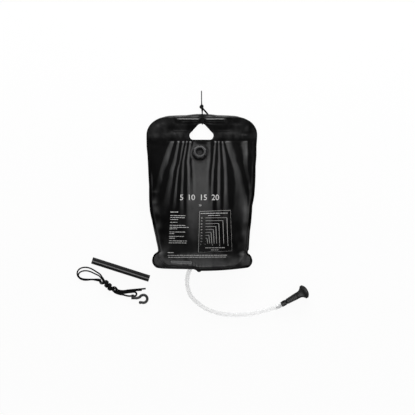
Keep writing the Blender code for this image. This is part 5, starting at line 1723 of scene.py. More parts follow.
                # A painted highlight line along the back's top edge, beside the string.
                beside = past(self.off_string(x), 0.006, 0.014) * short_of(np.abs(x), 0.104, 0.01)
                crest = 0.5 + 0.8 * bell(real_y - 0.3306, 0.0014) * beside
            band = past(np.abs(x), shape.chamber_half_width(y), 0.0012)
            if y < shape.chamber_bottom_y:
                band = np.ones(len(x))
            cross = max(bell(y - line, width) for line, width in self.weld_lines)
            welds.append(np.maximum(band, cross))
            painted_light_and_wear_rows.append(crest)
            places.append(np.stack([real_x, real_y, height], axis=1))
        grid = np.array(places)
        if front:
            painted_light_and_wear_rows = self.rimmed(grid, painted_light_and_wear_rows)
        deep, wide = grid.shape[:2]
        flat_places = grid.reshape(-1, 3)
        index = np.arange(deep * wide).reshape(deep, wide)
        corners = [index[:-1, :-1], index[1:, :-1], index[1:, 1:], index[:-1, 1:]]
        faces = np.stack(corners, axis=-1).reshape(-1, 4)
        if not front:
            faces = faces[:, ::-1]
        keep = self.cut_polygon(flat_places, faces, step)
        if front:
            keep &= self.cut_round(flat_places, faces, shape.filler_frame(), self.neck_hole, step)
        else:
            outlet = Matrix.Translation(self.outlet)
            keep &= self.cut_round(flat_places, faces, outlet, self.outlet_hole, step)
        faces = faces[keep]
        used = np.unique(faces)
        renumbered = np.zeros(len(flat_places), int)
        renumbered[used] = np.arange(len(used))
        mesh = mesh_from(panel.value + "_skin", flat_places[used], renumbered[faces].tolist())
        mark_points(mesh, "crest", np.concatenate(painted_light_and_wear_rows)[used])
        mark_points(mesh, "weld", np.concatenate(welds)[used])
        mesh.shade_smooth()
        return mesh

    def cut_polygon(self, places: np.ndarray, faces: np.ndarray, step: float) -> np.ndarray:
        """Draw the points near the hand cut-out onto its outline.

        Args:
            places: The sheet's points, which are moved.
            faces: Its faces.
            step: The distance between its points.

        Returns:
            True for each face that stays.
        """
        outline = np.array(eased(self.cut_out, self.cut_corner, 8))
        starts, ends = outline, np.roll(outline, -1, axis=0)
        low, high = outline.min(axis=0) - 2 * step, outline.max(axis=0) + 2 * step
        near = np.flatnonzero(((places[:, :2] > low) & (places[:, :2] < high)).all(axis=1))
        spots = places[near, :2]
        runs = ends - starts
        shares = ((spots[:, None] - starts) * runs).sum(-1) / (runs**2).sum(-1)
        nearest = starts + np.clip(shares, 0.0, 1.0)[..., None] * runs
        gaps = np.linalg.norm(spots[:, None] - nearest, axis=2)
        best = gaps.argmin(axis=1)
        snapped = gaps.min(axis=1) < 0.74 * step
        spots[snapped] = nearest[np.arange(len(near)), best][snapped]
        places[near, :2] = spots
        middles = places[faces].mean(axis=1)[:, :2]
        crossing = (starts[:, 1] > middles[:, None, 1]) != (ends[:, 1] > middles[:, None, 1])
        rise = np.where(runs[:, 1] == 0, 1e-12, runs[:, 1])
        at = starts[:, 0] + (middles[:, None, 1] - starts[:, 1]) / rise * runs[:, 0]
        inside = (crossing & (middles[:, None, 0] < at)).sum(axis=1) % 2 == 1
        return ~inside

    @staticmethod
    def cut_round(
        places: np.ndarray, faces: np.ndarray, where: Matrix, radius: float, step: float
    ) -> np.ndarray:
        """Draw the points near a round hole onto its edge.

        Args:
            places: The sheet's points, which are moved.
            faces: Its faces.
            where: The hole's place, with its Z along its axis.
            radius: The hole's radius.
            step: The distance between the sheet's points.

        Returns:
            True for each face that stays.
        """
        turn = np.array(where.to_3x3())
        middle = np.array(where.translation)
        local = (places - middle) @ turn
        reach = np.hypot(local[:, 0], local[:, 1])
        level = np.abs(local[:, 2]) < 0.012
        snapped = level & (np.abs(reach - radius) < 0.74 * step) & (reach > 1e-6)
        local[snapped, :2] *= (radius / reach[snapped])[:, None]
        places[snapped] = local[snapped] @ turn.T + middle
        centres = (places[faces].mean(axis=1) - middle) @ turn
        return ~((np.hypot(centres[:, 0], centres[:, 1]) < radius) & (np.abs(centres[:, 2]) < 0.012))

    def add(self, panel: Panel) -> BVHTree:
        """Make one sheet, place it, and return its outer face for what lies on it.

        Args:
            panel: Which sheet.

        Returns:
            Its outer face, for what lies on it.
        """
        mesh = self.build(panel)
        surface = BVHTree.FromPolygons(
            [vertex.co.copy() for vertex in mesh.vertices], [tuple(face.vertices) for face in mesh.polygons]
        )
        solid = thickened(panel.value + "_skin", mesh, self.shape.sheet)
        piece = place_piece(panel.value + "_skin", solid, SHEET_FINISH, Body.BAG, panel.value)
        return surface


@dataclass(frozen=True)
class FrontPrint:
    """Plain white prints on the front: a chart of lines and numbers, rows of dashes and a scale."""

    lift: float = 0.00022
    step: float = 0.0022
    frame_line: float = 0.0007
    rule_line: float = 0.0012
    row_step: float = 0.01085
    chart: tuple[Flat, ...] = ((-0.0065, -0.0240), (0.1078, -0.0198), (0.1130, -0.1706), (-0.0112, -0.1758))
    reaches: tuple[float, ...] = (
        0.0945, 0.0795, 0.0645, 0.0535, 0.0440, 0.0355, 0.0275, 0.0200, 0.0150, 0.0110
    )
    # Numbers: text, x, y and size
    numbers: tuple[tuple[str, float, float, float], ...] = (
        ("1", 0.0385, -0.1515, 0.0092), ("2", 0.0655, -0.1515, 0.0092), ("3", 0.0960, -0.1515, 0.0092),
        ("5", -0.0810, 0.0185, 0.0290), ("10", -0.0525, 0.0185, 0.0290), ("15", -0.0075, 0.0185, 0.0290),
        ("20", 0.0370, 0.0185, 0.0290), ("20", -0.0095, -0.0045, 0.0095),
    )
    # Rows of dashes: start x and y, end x, slope, seed and width
    dash_rows: tuple[tuple[float, float, float, float, int, float], ...] = (
        (-0.0025, -0.0315, 0.0995, 0.015, 3, 0.0020), (0.0245, -0.0392, 0.0735, 0.015, 8, 0.0017),
        (0.0135, -0.1590, 0.0880, 0.01, 5, 0.0019), (0.0350, -0.1668, 0.0630, 0.01, 2, 0.0017),
        (-0.1250, -0.1768, -0.1035, 0.0, 4, 0.0024), (-0.1250, -0.1872, 0.1000, 0.004, 1, 0.0019),
        (-0.1235, -0.1945, 0.0915, 0.006, 6, 0.0019), (-0.1150, -0.0262, -0.0865, 0.0, 2, 0.0028),
        (-0.1150, -0.0392, -0.0600, -0.01, 7, 0.0019), (-0.1155, -0.0462, -0.0575, -0.02, 3, 0.0019),
        (-0.1160, -0.0538, -0.0865, 0.0, 5, 0.0019), (-0.1168, -0.0643, -0.0890, 0.0, 9, 0.0019),
        (-0.1175, -0.0755, -0.0560, -0.01, 1, 0.0019), (-0.1180, -0.0826, -0.0475, -0.01, 4, 0.0019),
        (-0.1183, -0.0886, -0.0900, 0.0, 2, 0.0019), (-0.1185, -0.1000, -0.0560, -0.01, 6, 0.0019),
        (-0.1190, -0.1062, -0.0960, 0.0, 3, 0.0019), (-0.1195, -0.1163, -0.0620, -0.01, 8, 0.0019),
        (-0.1200, -0.1232, -0.0935, 0.0, 5, 0.0019), (-0.1205, -0.1328, -0.0505, -0.01, 7, 0.0018),
        (-0.1210, -0.1404, -0.0560, -0.01, 2, 0.0018),
    )

    def rule(self, surface: BVHTree, line: Sequence[Flat], width: float) -> Mark:
        """One printed line of some width along a route.

        Args:
            surface: The front's outer face.
            line: The route.
            width: The line's width.

        Returns:
            Its points and faces.
        """
        points = respaced(np.array([(x, y, 0.0) for x, y in line]), self.step)
        places: list[Vector] = []
        for index, (x, y, _) in enumerate(points):
            onward = points[min(index + 1, len(points) - 1)] - points[max(index - 1, 0)]
            side = np.array([-onward[1], onward[0]]) / np.hypot(onward[0], onward[1]) * width / 2
            places += [above(surface, x + way * side[0], y + way * side[1], self.lift) for way in (-1, 1)]
        faces = [(2 * i, 2 * i + 2, 2 * i + 3, 2 * i + 1) for i in range(len(points) - 1)]
        return places, faces

    def number(self, surface: BVHTree, text: str, x: float, y: float, size: float) -> Mark:
        """A plain number, with its lower left corner at a place.

        Args:
            surface: The front's outer face.
            text: The number.
            x: Its left end.
            y: Its foot.
            size: Its height as type.

        Returns:
            Its points and faces.
        """
        curve = bpy.data.curves.new("number", "FONT")
        curve.body = text
        curve.size = size
        mesh = baked("number", linked("number", curve))
        grid = bmesh.new()
        grid.from_mesh(mesh)
        bmesh.ops.triangulate(grid, faces=grid.faces)
        for _ in range(5):
            long_edges = [edge for edge in grid.edges if edge.calc_length() > self.step]
            if long_edges:
                bmesh.ops.subdivide_edges(grid, edges=long_edges, cuts=1)
                bmesh.ops.triangulate(grid, faces=grid.faces)
        grid.to_mesh(mesh)
        grid.free()
        places = [above(surface, x + spot.co.x, y + spot.co.y, self.lift) for spot in mesh.vertices]
        faces = [tuple(face.vertices) for face in mesh.polygons]
        bpy.data.meshes.remove(mesh)
        bpy.data.curves.remove(curve)
        return places, faces

    def dashes(self, x: float, y: float, end: float, slope: float, seed: int) -> list[list[Flat]]:
        """A row of dashes of uneven length, in place of words.

        Args:
            x: The row's left end.
            y: Its height there.
            end: Its right end.
            slope: Its rise per length.
            seed: Where the order of lengths starts.

        Returns:
            The ends of each dash.
        """
        rows, at, index = [], x, seed
        while at < end - 0.004:
            run = 0.0055 + 0.0085 * ((index * 37) % 11) / 10
            stop = min(end, at + run)
            rows.append([(at, y + (at - x) * slope), (stop, y + (stop - x) * slope)])
            at = stop + 0.0017
            index += 1
        return rows

    def layout(self) -> tuple[list[tuple[Sequence[Flat], float]], list[tuple[str, float, float, float]]]:
        """Every rule and number of the print.

        Returns:
            The rules with their widths, and the numbers with their places and sizes.
        """
        rules: list[tuple[Sequence[Flat], float]] = []
        for side, (start, end) in enumerate(zip(self.chart, self.chart[1:] + self.chart[:1])):
            rules.append(((start, end), self.frame_line * (1.2 if side in (0, 3) else 0.55)))
        numbers = []
        for index in range(len(self.reaches)):
            y = -0.0482 - self.row_step * index
            numbers.append((str(50 - 5 * index), -0.0022 - 0.0002 * index, y - 0.0022, 0.0062))
        for index, reach in enumerate(self.reaches):
            y = -0.0478 - self.row_step * index
            rules.append((((0.0150, y), (reach, y + 0.0008)), 0.0008))
            if index < 8:
                rules.append((((reach, y + 0.0008), (reach + 0.003, -0.1430)), self.rule_line))
        for x, y, end, slope, seed, width in self.dash_rows:
            rules += [(dash, width) for dash in self.dashes(x, y, end, slope, seed)]
        return rules, numbers + list(self.numbers)

    def add(self, surface: BVHTree) -> None:
        """Print on the front's outer face.

        Args:
            surface: The front's outer face.
        """
        rules, numbers = self.layout()
        marks = [self.rule(surface, line, width) for line, width in rules]
        marks += [self.number(surface, text, x, y, size) for text, x, y, size in numbers]
        places: list[Vector] = []
        faces: list[tuple[int, ...]] = []
        for spots, corners in marks:
            faces += [tuple(len(places) + corner for corner in face) for face in corners]
            places += spots
        piece = place_piece("front_print", mesh_from("front_print", places, faces), INK, Body.BAG)


@dataclass(frozen=True)
class ThermometerStrip:
    """The strip thermometer, a rounded film that follows the sheet."""

    x: float = -0.0748
    y: float = -0.2145
    length: float = 0.078
    depth: float = 0.0135
    slant: float = 0.0012
    rise: float = 0.0007
    thickness: float = 0.0005
    columns: int = 44
    rows: int = 8

    def add(self, surface: BVHTree, shape: BagShape) -> None:
        """Lay the strip on the sheet.

        Args:
            surface: The front's outer face.
            shape: The bag's sizes.
        """
        places, lay = [], []
        for row in range(self.rows + 1):
            for column in range(self.columns + 1):
                u, v = column / self.columns, row / self.rows
                along = (u - 0.5) * self.length
                across = (v - 0.5) * self.depth
                corner = max(0.0, abs(along) - (self.length - self.depth) / 2) / (self.depth / 2)
                across *= math.sqrt(max(0.16, 1.0 - 0.84 * min(1.0, corner) ** 3))
                x, y = self.x + along, self.y + across - 2 * (u - 0.5) * self.slant
                y = float(shape.shifted_y(Panel.FRONT, x, y))
                places.append(above(surface, x, y, self.rise + self.thickness))
                lay.append((u, v))
        mesh = mesh_from("thermometer_strip", places, grid_faces(self.rows, self.columns))
        layer = mesh.uv_layers.new(name="film")
        for loop in mesh.loops:
            layer.data[loop.index].uv = lay[loop.vertex_index]
        mesh.shade_smooth()
        solid = thickened("thermometer_strip", mesh, self.thickness)
        place_piece("thermometer_strip", solid, FILM, Body.BAG, "temperature_strip")


# The filler


@dataclass(frozen=True)
class Filler:
    """The welded neck with its thread, and the scalloped screw cap."""

    where: Matrix
    flange_radius: float = 0.030
    flange_top: float = 0.0023
    neck_radius: float = 0.0198
    neck_bore: float = 0.0175
    neck_height: float = 0.0135
    neck_depth: float = 0.0045
    thread_pitch: float = 0.0034
    thread_height: float = 0.00055
    cap_radius: float = 0.0265
    cap_bottom: float = 0.0045
    cap_height: float = 0.0185
    cap_rim: float = 0.0235
    cap_bore: float = 0.0206
    dish_radius: float = 0.0145
    dish_depth: float = 0.0075
    scallops: int = 8
    scallop_depth: float = 0.0024
    scallop_reach: float = 0.0036
    grip_reach: float = 0.0055
    grip_depth: float = 0.00022
    grips: int = 12

    def neck_swell(self, angle: float, radius: float, height: float) -> float:
        """A screw thread on the neck.

        Args:
            angle: The angle round the axis.
            radius: The plain radius.
            height: The height along the axis.

        Returns:
            The radius.
        """
        if abs(radius - self.neck_radius) < 1e-5 and 0.0042 < height < self.neck_height - 0.001:
            turns = height / self.thread_pitch - angle / math.tau
            wave = abs((turns % 1.0) - 0.5) * 2.0
            ends = past(height, 0.0042, 0.001) * short_of(height, self.neck_height - 0.001, 0.001)
            return radius + self.thread_height * float(ends) * max(0.0, 1.0 - 2.2 * wave)
        return radius

    def neck(self) -> None:
        """The neck, its flange with two weld rings, and its thread."""
        fine = [
            (self.neck_radius, self.neck_height - 0.0003 * step)
            for step in range(1, int((self.neck_height - self.flange_top) / 0.0003))
        ]
        profile = [
            (self.neck_radius - 0.0004, self.neck_height), *fine, (self.neck_radius, self.flange_top),
            (0.0255, self.flange_top), (0.0260, self.flange_top + 0.0004), (0.0265, self.flange_top + 0.0004),
            (0.0270, self.flange_top), (0.0282, self.flange_top), (0.0286, self.flange_top + 0.0003),
            (0.0291, self.flange_top + 0.0002), (0.0297, self.flange_top - 0.0006),
            (self.flange_radius, 0.0012), (self.flange_radius, 0.0003), (self.neck_radius, 0.0003),
            (self.neck_radius, -self.neck_depth), (self.neck_bore, -self.neck_depth),
            (self.neck_bore, self.neck_height - 0.0005), (self.neck_bore + 0.0005, self.neck_height),
        ]
        mesh = turned_mesh("filler_neck_body", profile, 96, self.where, self.neck_swell)
        # Painted shade on the flange round the neck's foot.
        self.shade(mesh, lambda radius, height: 0.55 if height < 0.003 else 0.0)
        place_piece("filler_neck_body", mesh, PLASTIC, Body.BAG, "filler_neck")

    def cap_swell(self, angle: float, radius: float, height: float) -> float:
        """Finger scallops and fine grip lines round the cap's wall.

        Args:
            angle: The angle round the axis.
            radius: The plain radius.
            height: The height along the axis.

        Returns:
            The radius.
        """
        if radius < self.cap_rim - 0.0012 or height < self.cap_bottom - 0.0002:
            return radius
        beat = (angle / math.tau * self.scallops + 0.5) % 1.0 - 0.5
        reach = beat * math.tau * radius / self.scallops
        scoop = self.scallop_depth * math.exp(-((reach / self.scallop_reach) ** 4))
        outer = smoothstep((radius - self.cap_rim + 0.0012) / 0.0022)
        grip = self.grip_depth * math.cos(angle * self.scallops * self.grips)
        grip *= 1.0 - math.exp(-((reach / self.grip_reach) ** 4))
        low = short_of(height, self.cap_height - 0.003, 0.001)
        return radius - float(outer) * scoop + float(outer * low) * grip

    def cap(self) -> None:
        """The screw cap: dished top with a moulded ring, rounded rim and gripped skirt."""
        floor = self.cap_height - self.dish_depth
        top = self.cap_height
        outside = [
            (0.0, floor + 0.0004), (0.0016, floor + 0.0004), (0.0020, floor), (0.0085, floor),
            (0.0090, floor + 0.0006), (0.0098, floor + 0.0006), (0.0103, floor),
            (self.dish_radius - 0.0022, floor), (self.dish_radius - 0.0004, floor + 0.0020),
            (self.dish_radius, top - 0.0016), (self.dish_radius + 0.0014, top), (self.cap_rim - 0.0028, top),
            (self.cap_rim, top - 0.0009), (self.cap_radius - 0.0006, top - 0.0044),
            (self.cap_radius, top - 0.0060),
        ]
        low = self.cap_bottom + 0.0012
        wall = [(self.cap_radius, between(top - 0.0060, low, step / 6)) for step in range(1, 7)]
        inside = [
            (self.cap_radius - 0.0004, self.cap_bottom), (self.cap_bore + 0.0003, self.cap_bottom),
            (self.cap_bore, self.cap_bottom + 0.0006), (self.cap_bore, top - 0.0025), (0.0169, top - 0.0025),
            (0.0169, floor - 0.0025), (0.0, floor - 0.0025),
        ]
        profile = eased([*outside, *wall, *inside], 0.0005, 2, looped=False)
        mesh = turned_mesh("screw_cap", profile, 192, self.where, self.cap_swell, looped=False)
        dish = self.dish_radius - 0.0002
        # Painted shade in the dish and round the skirt below the rim.
        self.shade(
            mesh,
            lambda radius, height: 0.7 * (radius < dish and height < top - 0.0012)
            + 0.5 * (radius > self.cap_rim and height < top - 0.004),
        )
        place_piece("screw_cap", mesh, PLASTIC, Body.CAP, "filler_cap")

    def shade(self, mesh: bpy.types.Mesh, depth: Callable[[float, float], float]) -> None:
        """Mark how much painted shade each point gets, from its radius and height."""
        spots = [self.where.inverted() @ vertex.co for vertex in mesh.vertices]
        mark_points(mesh, "deep", (depth(math.hypot(spot.x, spot.y), spot.z) for spot in spots))

    def add(self) -> None:
        """Make the neck and the cap, and dress the washer."""
        self.neck()
        self.cap()
        dress_node("filler_gasket", RUBBER)


# The hose and its head


@dataclass(frozen=True)
class Hose:
    """The clear hose, from under the bag to the shower head."""

    radius: float = 0.0082
    drawn_radius: float = 0.0088
    bore: float = 0.0064
    bag_cloud: float = 0.45
    bag_reach: float = 0.052
    head_reach: float = 0.030
    bag_fade: float = 0.02
    head_fade: float = 0.006
    straight: float = 0.016
    spacing: float = 0.0042
    start: Point = (-0.01808, -0.20306, 0.0095)
    start_way: Point = (-0.61566, -0.78801, 0.0)
    route: tuple[Point, ...] = (
        (-0.0372, -0.2290, 0.0085), (-0.0440, -0.2415, 0.0083), (-0.0503, -0.2580, 0.0083),
        (-0.0536, -0.2805, 0.0083), (-0.0528, -0.3000, 0.0083), (-0.0480, -0.3215, 0.0083),
        (-0.0380, -0.3420, 0.0083), (-0.0217, -0.3595, 0.0083), (0.0037, -0.3796, 0.0083),
        (0.0318, -0.3942, 0.0083), (0.0692, -0.4054, 0.0083), (0.1066, -0.4099, 0.0083),
        (0.1440, -0.4103, 0.0083), (0.1814, -0.4072, 0.0083), (0.2188, -0.3988, 0.0083),
        (0.2500, -0.3905, 0.0083), (0.2720, -0.3845, 0.0084),
    )

    def line(self, head: Matrix) -> np.ndarray:
        """The hose's middle line, straight where a fitting goes into it.

        Args:
            head: The shower head's place.

        Returns:
            Its points.
        """
        start, way = Vector(self.start), Vector(self.start_way)
        along = head.to_3x3() @ Vector((0.0, 0.0, 1.0))
        end = head.translation - along * 0.0003
        first, last = start + way * self.straight, end - along * self.straight
        route = smooth_route([first, *self.route, last], self.spacing)
        return respaced(np.vstack([tuple(start), route, tuple(end)]), self.spacing)

    def cloud_ends(self, mesh: bpy.types.Mesh, start: Vector, end: Vector) -> None:
        """Mark how milky the hose is near the bag and over the head's barb.

        Args:
            mesh: The hose's mesh.
            start: Its end at the bag.
            end: Its end at the head.
        """
        from_bag = np.array([(vertex.co - start).length for vertex in mesh.vertices])
        from_head = np.array([(vertex.co - end).length for vertex in mesh.vertices])
        by_bag = self.bag_cloud * short_of(from_bag, self.bag_reach, self.bag_fade)
        by_head = short_of(from_head, self.head_reach, self.head_fade)
        mark_points(mesh, "cloud", np.maximum(by_bag, by_head))

    def add(self, head: Matrix) -> None:
        """Args:
            head: The shower head's place.
        """
        line = self.line(head)
        mesh = tube_mesh("clear_hose", line, self.drawn_radius, 32, bore=self.bore)
        self.cloud_ends(mesh, Vector(line[0]), Vector(line[-1]))
        piece = place_piece("clear_hose", mesh, HOSE_FINISH, Body.BAG, "hose")
        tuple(self.start)


@dataclass(frozen=True)
class ShowerHead:
    """The collar with its valve tube, the ribbed trumpet that slides on it, and the drilled face."""

    origin: Point = (0.3029, -0.3700, 0.0113)
    heading: float = math.radians(30)
    rose_radius: float = 0.0263
    rim_end: float = 0.0985
    collar_radius: float = 0.0100
    collar_length: float = 0.0190
    skirt: float = 0.0036
    skirt_bore: float = 0.0089
    grip_depth: float = 0.00028
    grips: int = 24
    stem_radius: float = 0.0098
    stem_end_radius: float = 0.0127
    stem_end: float = 0.066
    flare_end: float = 0.0885
    ribs: int = 6
    rib_first: float = 0.0245
    rib_spacing: float = 0.0068
    rib_height: float = 0.0009
    plate_radius: float = 0.0242
    plate_edge: float = 0.0958
    plate_dome: float = 0.0118
    hole_radius: float = 0.0009
    ring_spacing: float = 0.0056
    rings: int = 3
    wall: float = 0.0018
    throat: float = 0.0048
    throat_length: float = 0.0065
    bore: float = 0.0066
    chamber_end: float = 0.0603
    trumpet_start: float = 0.0193
    seat_depth: float = 0.0065
    seat_radius: float = 0.0227
    lip_radius: float = 0.0245
    face_start: float = 0.0923

    @property
    def where(self) -> Matrix:
        """The head's place, with its Z along its axis and its rim on the floor.

        Returns:
            The place.
        """
        reach = math.hypot(self.rose_radius, self.rim_end)
        tilt = math.acos(self.origin[2] / reach) - math.atan2(self.rim_end, self.rose_radius)
        turn = Matrix.Rotation(self.heading, 4, "Z") @ Matrix.Rotation(math.pi / 2 - tilt, 4, "Y")
        return Matrix.Translation(self.origin) @ turn

    def stem_at(self, height: float) -> float:
        """The stem's radius with its rings.

        Args:
            height: The height along the axis.

        Returns:
            The radius.
        """
        share = (height - self.collar_length) / (self.stem_end - self.collar_length)
        radius = between(self.stem_radius, self.stem_end_radius, share)
        for index in range(self.ribs):
            off = height - self.rib_first - self.rib_spacing * index
            radius += self.rib_height * float(bell(off, 0.0014))
        return radius

    def flare_at(self, height: float) -> float:
        """The trumpet's radius between the stem and the rim."""
        share = (height - self.stem_end) / (self.flare_end - self.stem_end)
        return between(self.stem_end_radius, self.rose_radius - 0.0009, share**2.6)

    def trumpet(self) -> None:
        """The sliding head."""
        throat, start, chamber_end = self.throat, self.trumpet_start, self.chamber_end
        throat_end = chamber_end + self.throat_length
        seat = self.rim_end - self.seat_depth
        rim = [
            (self.rose_radius - 0.0012, self.rim_end), (self.rose_radius - 0.0005, self.rim_end - 0.0007),
            (self.rose_radius, self.rim_end - 0.0024), (self.rose_radius, self.flare_end + 0.0030),
            (self.rose_radius - 0.0004, self.flare_end + 0.0024),
            (self.rose_radius - 0.0004, self.flare_end + 0.0016), (self.rose_radius, self.flare_end + 0.0010),
        ]
        flare = [(self.flare_at(z), z) for z in np.linspace(self.flare_end, self.stem_end, 22)]
        stem = [(self.stem_at(z), z) for z in np.linspace(self.stem_end, start + 0.0005, 96)[1:]]
        inside = [
            (max(self.flare_at(z) - self.wall, throat), z)
            for z in np.linspace(throat_end + 0.0008, self.flare_end, 14)
        ]
        profile = [
            *rim, *flare, *stem, (self.stem_radius - 0.0003, start), (self.bore, start),
            (self.bore, chamber_end), (throat, chamber_end), (throat, throat_end), *inside,
            (self.seat_radius, seat), (self.lip_radius, seat), (self.lip_radius, self.rim_end),
        ]
        mesh = turned_mesh("trumpet_head", profile, 72, self.where)
        # A painted highlight along the top of the head, brightest on its rings.
        paint_highlight_along_top(mesh, self.where, -0.15, 0.42, self.wear_and_painted_highlight)
        place_piece("trumpet_head", mesh, HEAD_PLASTIC, Body.HEAD, "shower_head")

    def wear_and_painted_highlight(self, radius: float, height: float) -> float:
        """How strong the painted highlight on the outside is, most on the rings.

        Args:
            radius: The radius.
            height: The height along the axis.

        Returns:
            The share.
        """
        if height > self.stem_end:
            return 0.75 * float(bell(height - self.stem_end - 0.010, 0.012))
        if radius < self.stem_radius - 0.0008:
            return 0.0
        if height < self.collar_length:
            return 0.35 + 0.65 * max(float(bell(height - 0.0030, 0.003)), float(bell(height - 0.0115, 0.002)))
        off = [height - self.rib_first - self.rib_spacing * ring for ring in range(self.ribs)]
        return 0.30 + 0.70 * max(float(bell(gap, 0.0022)) for gap in off)

    def face(self) -> None:
        """The domed face with its drilled rings of holes."""
        low = self.face_start

        def arc(inset: float, angles: np.ndarray) -> list[Flat]:
            """The dome's profile, some way in from its outside."""
            radius, edge = self.plate_radius - inset, self.plate_edge - inset
            return [(radius * math.sin(a), edge + self.plate_dome * math.cos(a)) for a in angles]

        profile = [
            *arc(0.0, np.linspace(0.0, math.pi / 2, 12)), (self.plate_radius, low + 0.0004),
            (self.plate_radius - 0.0004, low), (self.plate_radius - self.wall, low),
            *arc(self.wall, np.linspace(math.pi / 2, 0.0, 8)),
        ]
        plate = helper("face_blank", turned_mesh("face_blank", profile, 64, self.where, looped=False))
        drills = bmesh.new()
        for ring in range(self.rings + 1):
            for index in range(max(1, 6 * ring)):
                angle = math.tau * index / max(1, 6 * ring)
                reach = ring * self.ring_spacing
                added = bmesh.ops.create_cone(
                    drills, cap_ends=True, segments=12, radius1=self.hole_radius * 0.8,
                    radius2=self.hole_radius * 1.7, depth=0.024,
                )
                spot = (reach * math.cos(angle), reach * math.sin(angle), self.plate_edge + 0.002)
                bmesh.ops.translate(drills, verts=added["verts"], vec=spot)
        bmesh.ops.transform(drills, matrix=self.where, verts=drills.verts)
        mesh = drilled("drilled_face", plate, drills, 32)
        # A faint painted highlight ring on the face's top side; the rest is its plain black.
        paint_highlight_along_top(mesh, self.where, 0.0, 0.5, lambda radius, _: 0.30 * float(bell(radius - 0.017, 0.005)))
        place_piece("drilled_face", mesh, HEAD_PLASTIC, Body.HEAD, "spray_plate")

    def collar_swell(self, angle: float, radius: float, height: float) -> float:
        """Fine grip lines round the collar.

        Args:
            angle: The angle round the axis.
            radius: The plain radius.
            height: The height along the axis.

        Returns:
            The radius.
        """
        if radius > self.collar_radius - 0.0001 and 0.0022 < height < 0.0122:
            return radius + self.grip_depth * math.cos(angle * self.grips)
        return radius

    def collar(self) -> None:
        """The collar on the hose's end, with the grooved valve tube and its barb."""
        tube = [
            (0.0, 0.0660), (0.0036, 0.0660), (0.0042, 0.0654), (0.0042, 0.0637), (0.0030, 0.0637),
            (0.0030, 0.0619), (0.0042, 0.0619), (0.0042, 0.0580), (0.0056, 0.0580), (0.0060, 0.0576),
            (0.0060, 0.0320), (0.0046, 0.0320), (0.0046, 0.0300), (0.0060, 0.0300), (0.0060, 0.0190),
            (0.0083, 0.0190), (0.0087, 0.0186), (0.0087, 0.0147), (0.0091, 0.0145),
        ]
        grip = [(self.collar_radius, z) for z in np.linspace(0.0140, -self.skirt + 0.0006, 24)]
        barb = [
            (self.collar_radius - 0.0005, -self.skirt), (self.skirt_bore, -self.skirt),
            (self.skirt_bore, 0.0), (0.0054, 0.0), (0.0054, -0.0030), (0.0050, -0.0060), (0.0054, -0.0062),
            (0.0050, -0.0100), (0.0054, -0.0102), (0.0048, -0.0145), (0.0036, -0.0145), (0.0036, 0.0560),
            (0.0, 0.0580),
        ]
        profile = [*tube, *grip, *barb]
        mesh = turned_mesh("hose_collar", profile, 96, self.where, self.collar_swell, looped=False)
        # A painted highlight along the top of the collar.
        paint_highlight_along_top(mesh, self.where, -0.15, 0.42, self.wear_and_painted_highlight)
        place_piece("hose_collar", mesh, HEAD_PLASTIC, Body.BAG, "hose_connector")

    def add(self) -> None:
        """Make the head's pieces and dress its seals."""
        self.trumpet()
        self.face()
        self.collar()
        for name in ("connector_seal", "tip_seal"):
            dress_node(name, RUBBER)


@dataclass(frozen=True)
class Outlet:
    """The outlet plate, washer and elbow under the bag's lower end."""

    def add(self) -> None:
        """Dress the outlet's nodes."""
        dress_node("outlet_flange", PLASTIC)
        dress_node("outlet_elbow", PLASTIC)
        dress_node("outlet_washer", RUBBER)


# Loose pieces


@dataclass(frozen=True)
class CarryPipe:
    """The loose pipe that goes through the sleeve to make a carrying handle."""

    middle: Point = (-0.302, -0.2409, 0.0122)
    heading: float = math.radians(-17.7)
    length: float = 0.224
    radius: float = 0.0126
    wall: float = 0.0025
    # The painted highlight stripe's lean from the top and its half width, in radians.
    stripe_lean: float = -0.10
    stripe_width: float = 0.13
    seam_stand: float = 0.00008
    wobble: float = 0.00003

    def swell(self, angle: float, radius: float, height: float) -> float:
        """A trace of out-of-roundness from the mould, and the two parting lines.

        Args:
            angle: The angle round the axis.
            radius: The plain radius.
            height: The height along the axis.

        Returns:
            The radius.
        """
        if radius < self.radius - 0.0007:
            return radius
        seam = math.exp(-(((angle % math.pi) - math.pi / 2) / 0.03) ** 2)
        return radius - self.seam_stand * (1.0 - seam) + self.wobble * math.sin(height * 210.0)

    def wear_and_painted_highlight(self, radius: float, _: float) -> float:
        """The painted highlight's strength: full on the outside, and nothing inside the bore."""
        return 1.0 if radius > self.radius - 0.0012 else 0.0

    def add(self) -> None:
        """Make the pipe."""
        half, bore = self.length / 2, self.radius - self.wall
        outer = [(self.radius, z) for z in np.linspace(half - 0.0012, 0.0012 - half, 30)]
        profile = [
            (self.radius - 0.0009, half), (self.radius - 0.0003, half - 0.0003), *outer,
            (self.radius - 0.0003, 0.0003 - half), (self.radius - 0.0009, -half), (bore + 0.0003, -half),
            (bore, 0.0003 - half), (bore, half - 0.0003), (bore + 0.0003, half),
        ]
        lying = Matrix.Rotation(self.heading, 4, "Z") @ Matrix.Rotation(math.pi / 2, 4, "Y")
        where = Matrix.Translation(self.middle) @ lying
        mesh = turned_mesh("carry_pipe", profile, 64, where, self.swell)
        # A painted highlight stripe along the pipe's top; the rest is its plain black.
        paint_highlight_along_top(mesh, where, self.stripe_lean, self.stripe_width, self.wear_and_painted_highlight)
        place_piece("carry_pipe", mesh, PIPE_PLASTIC, Body.PIPE, "handle_pipe")


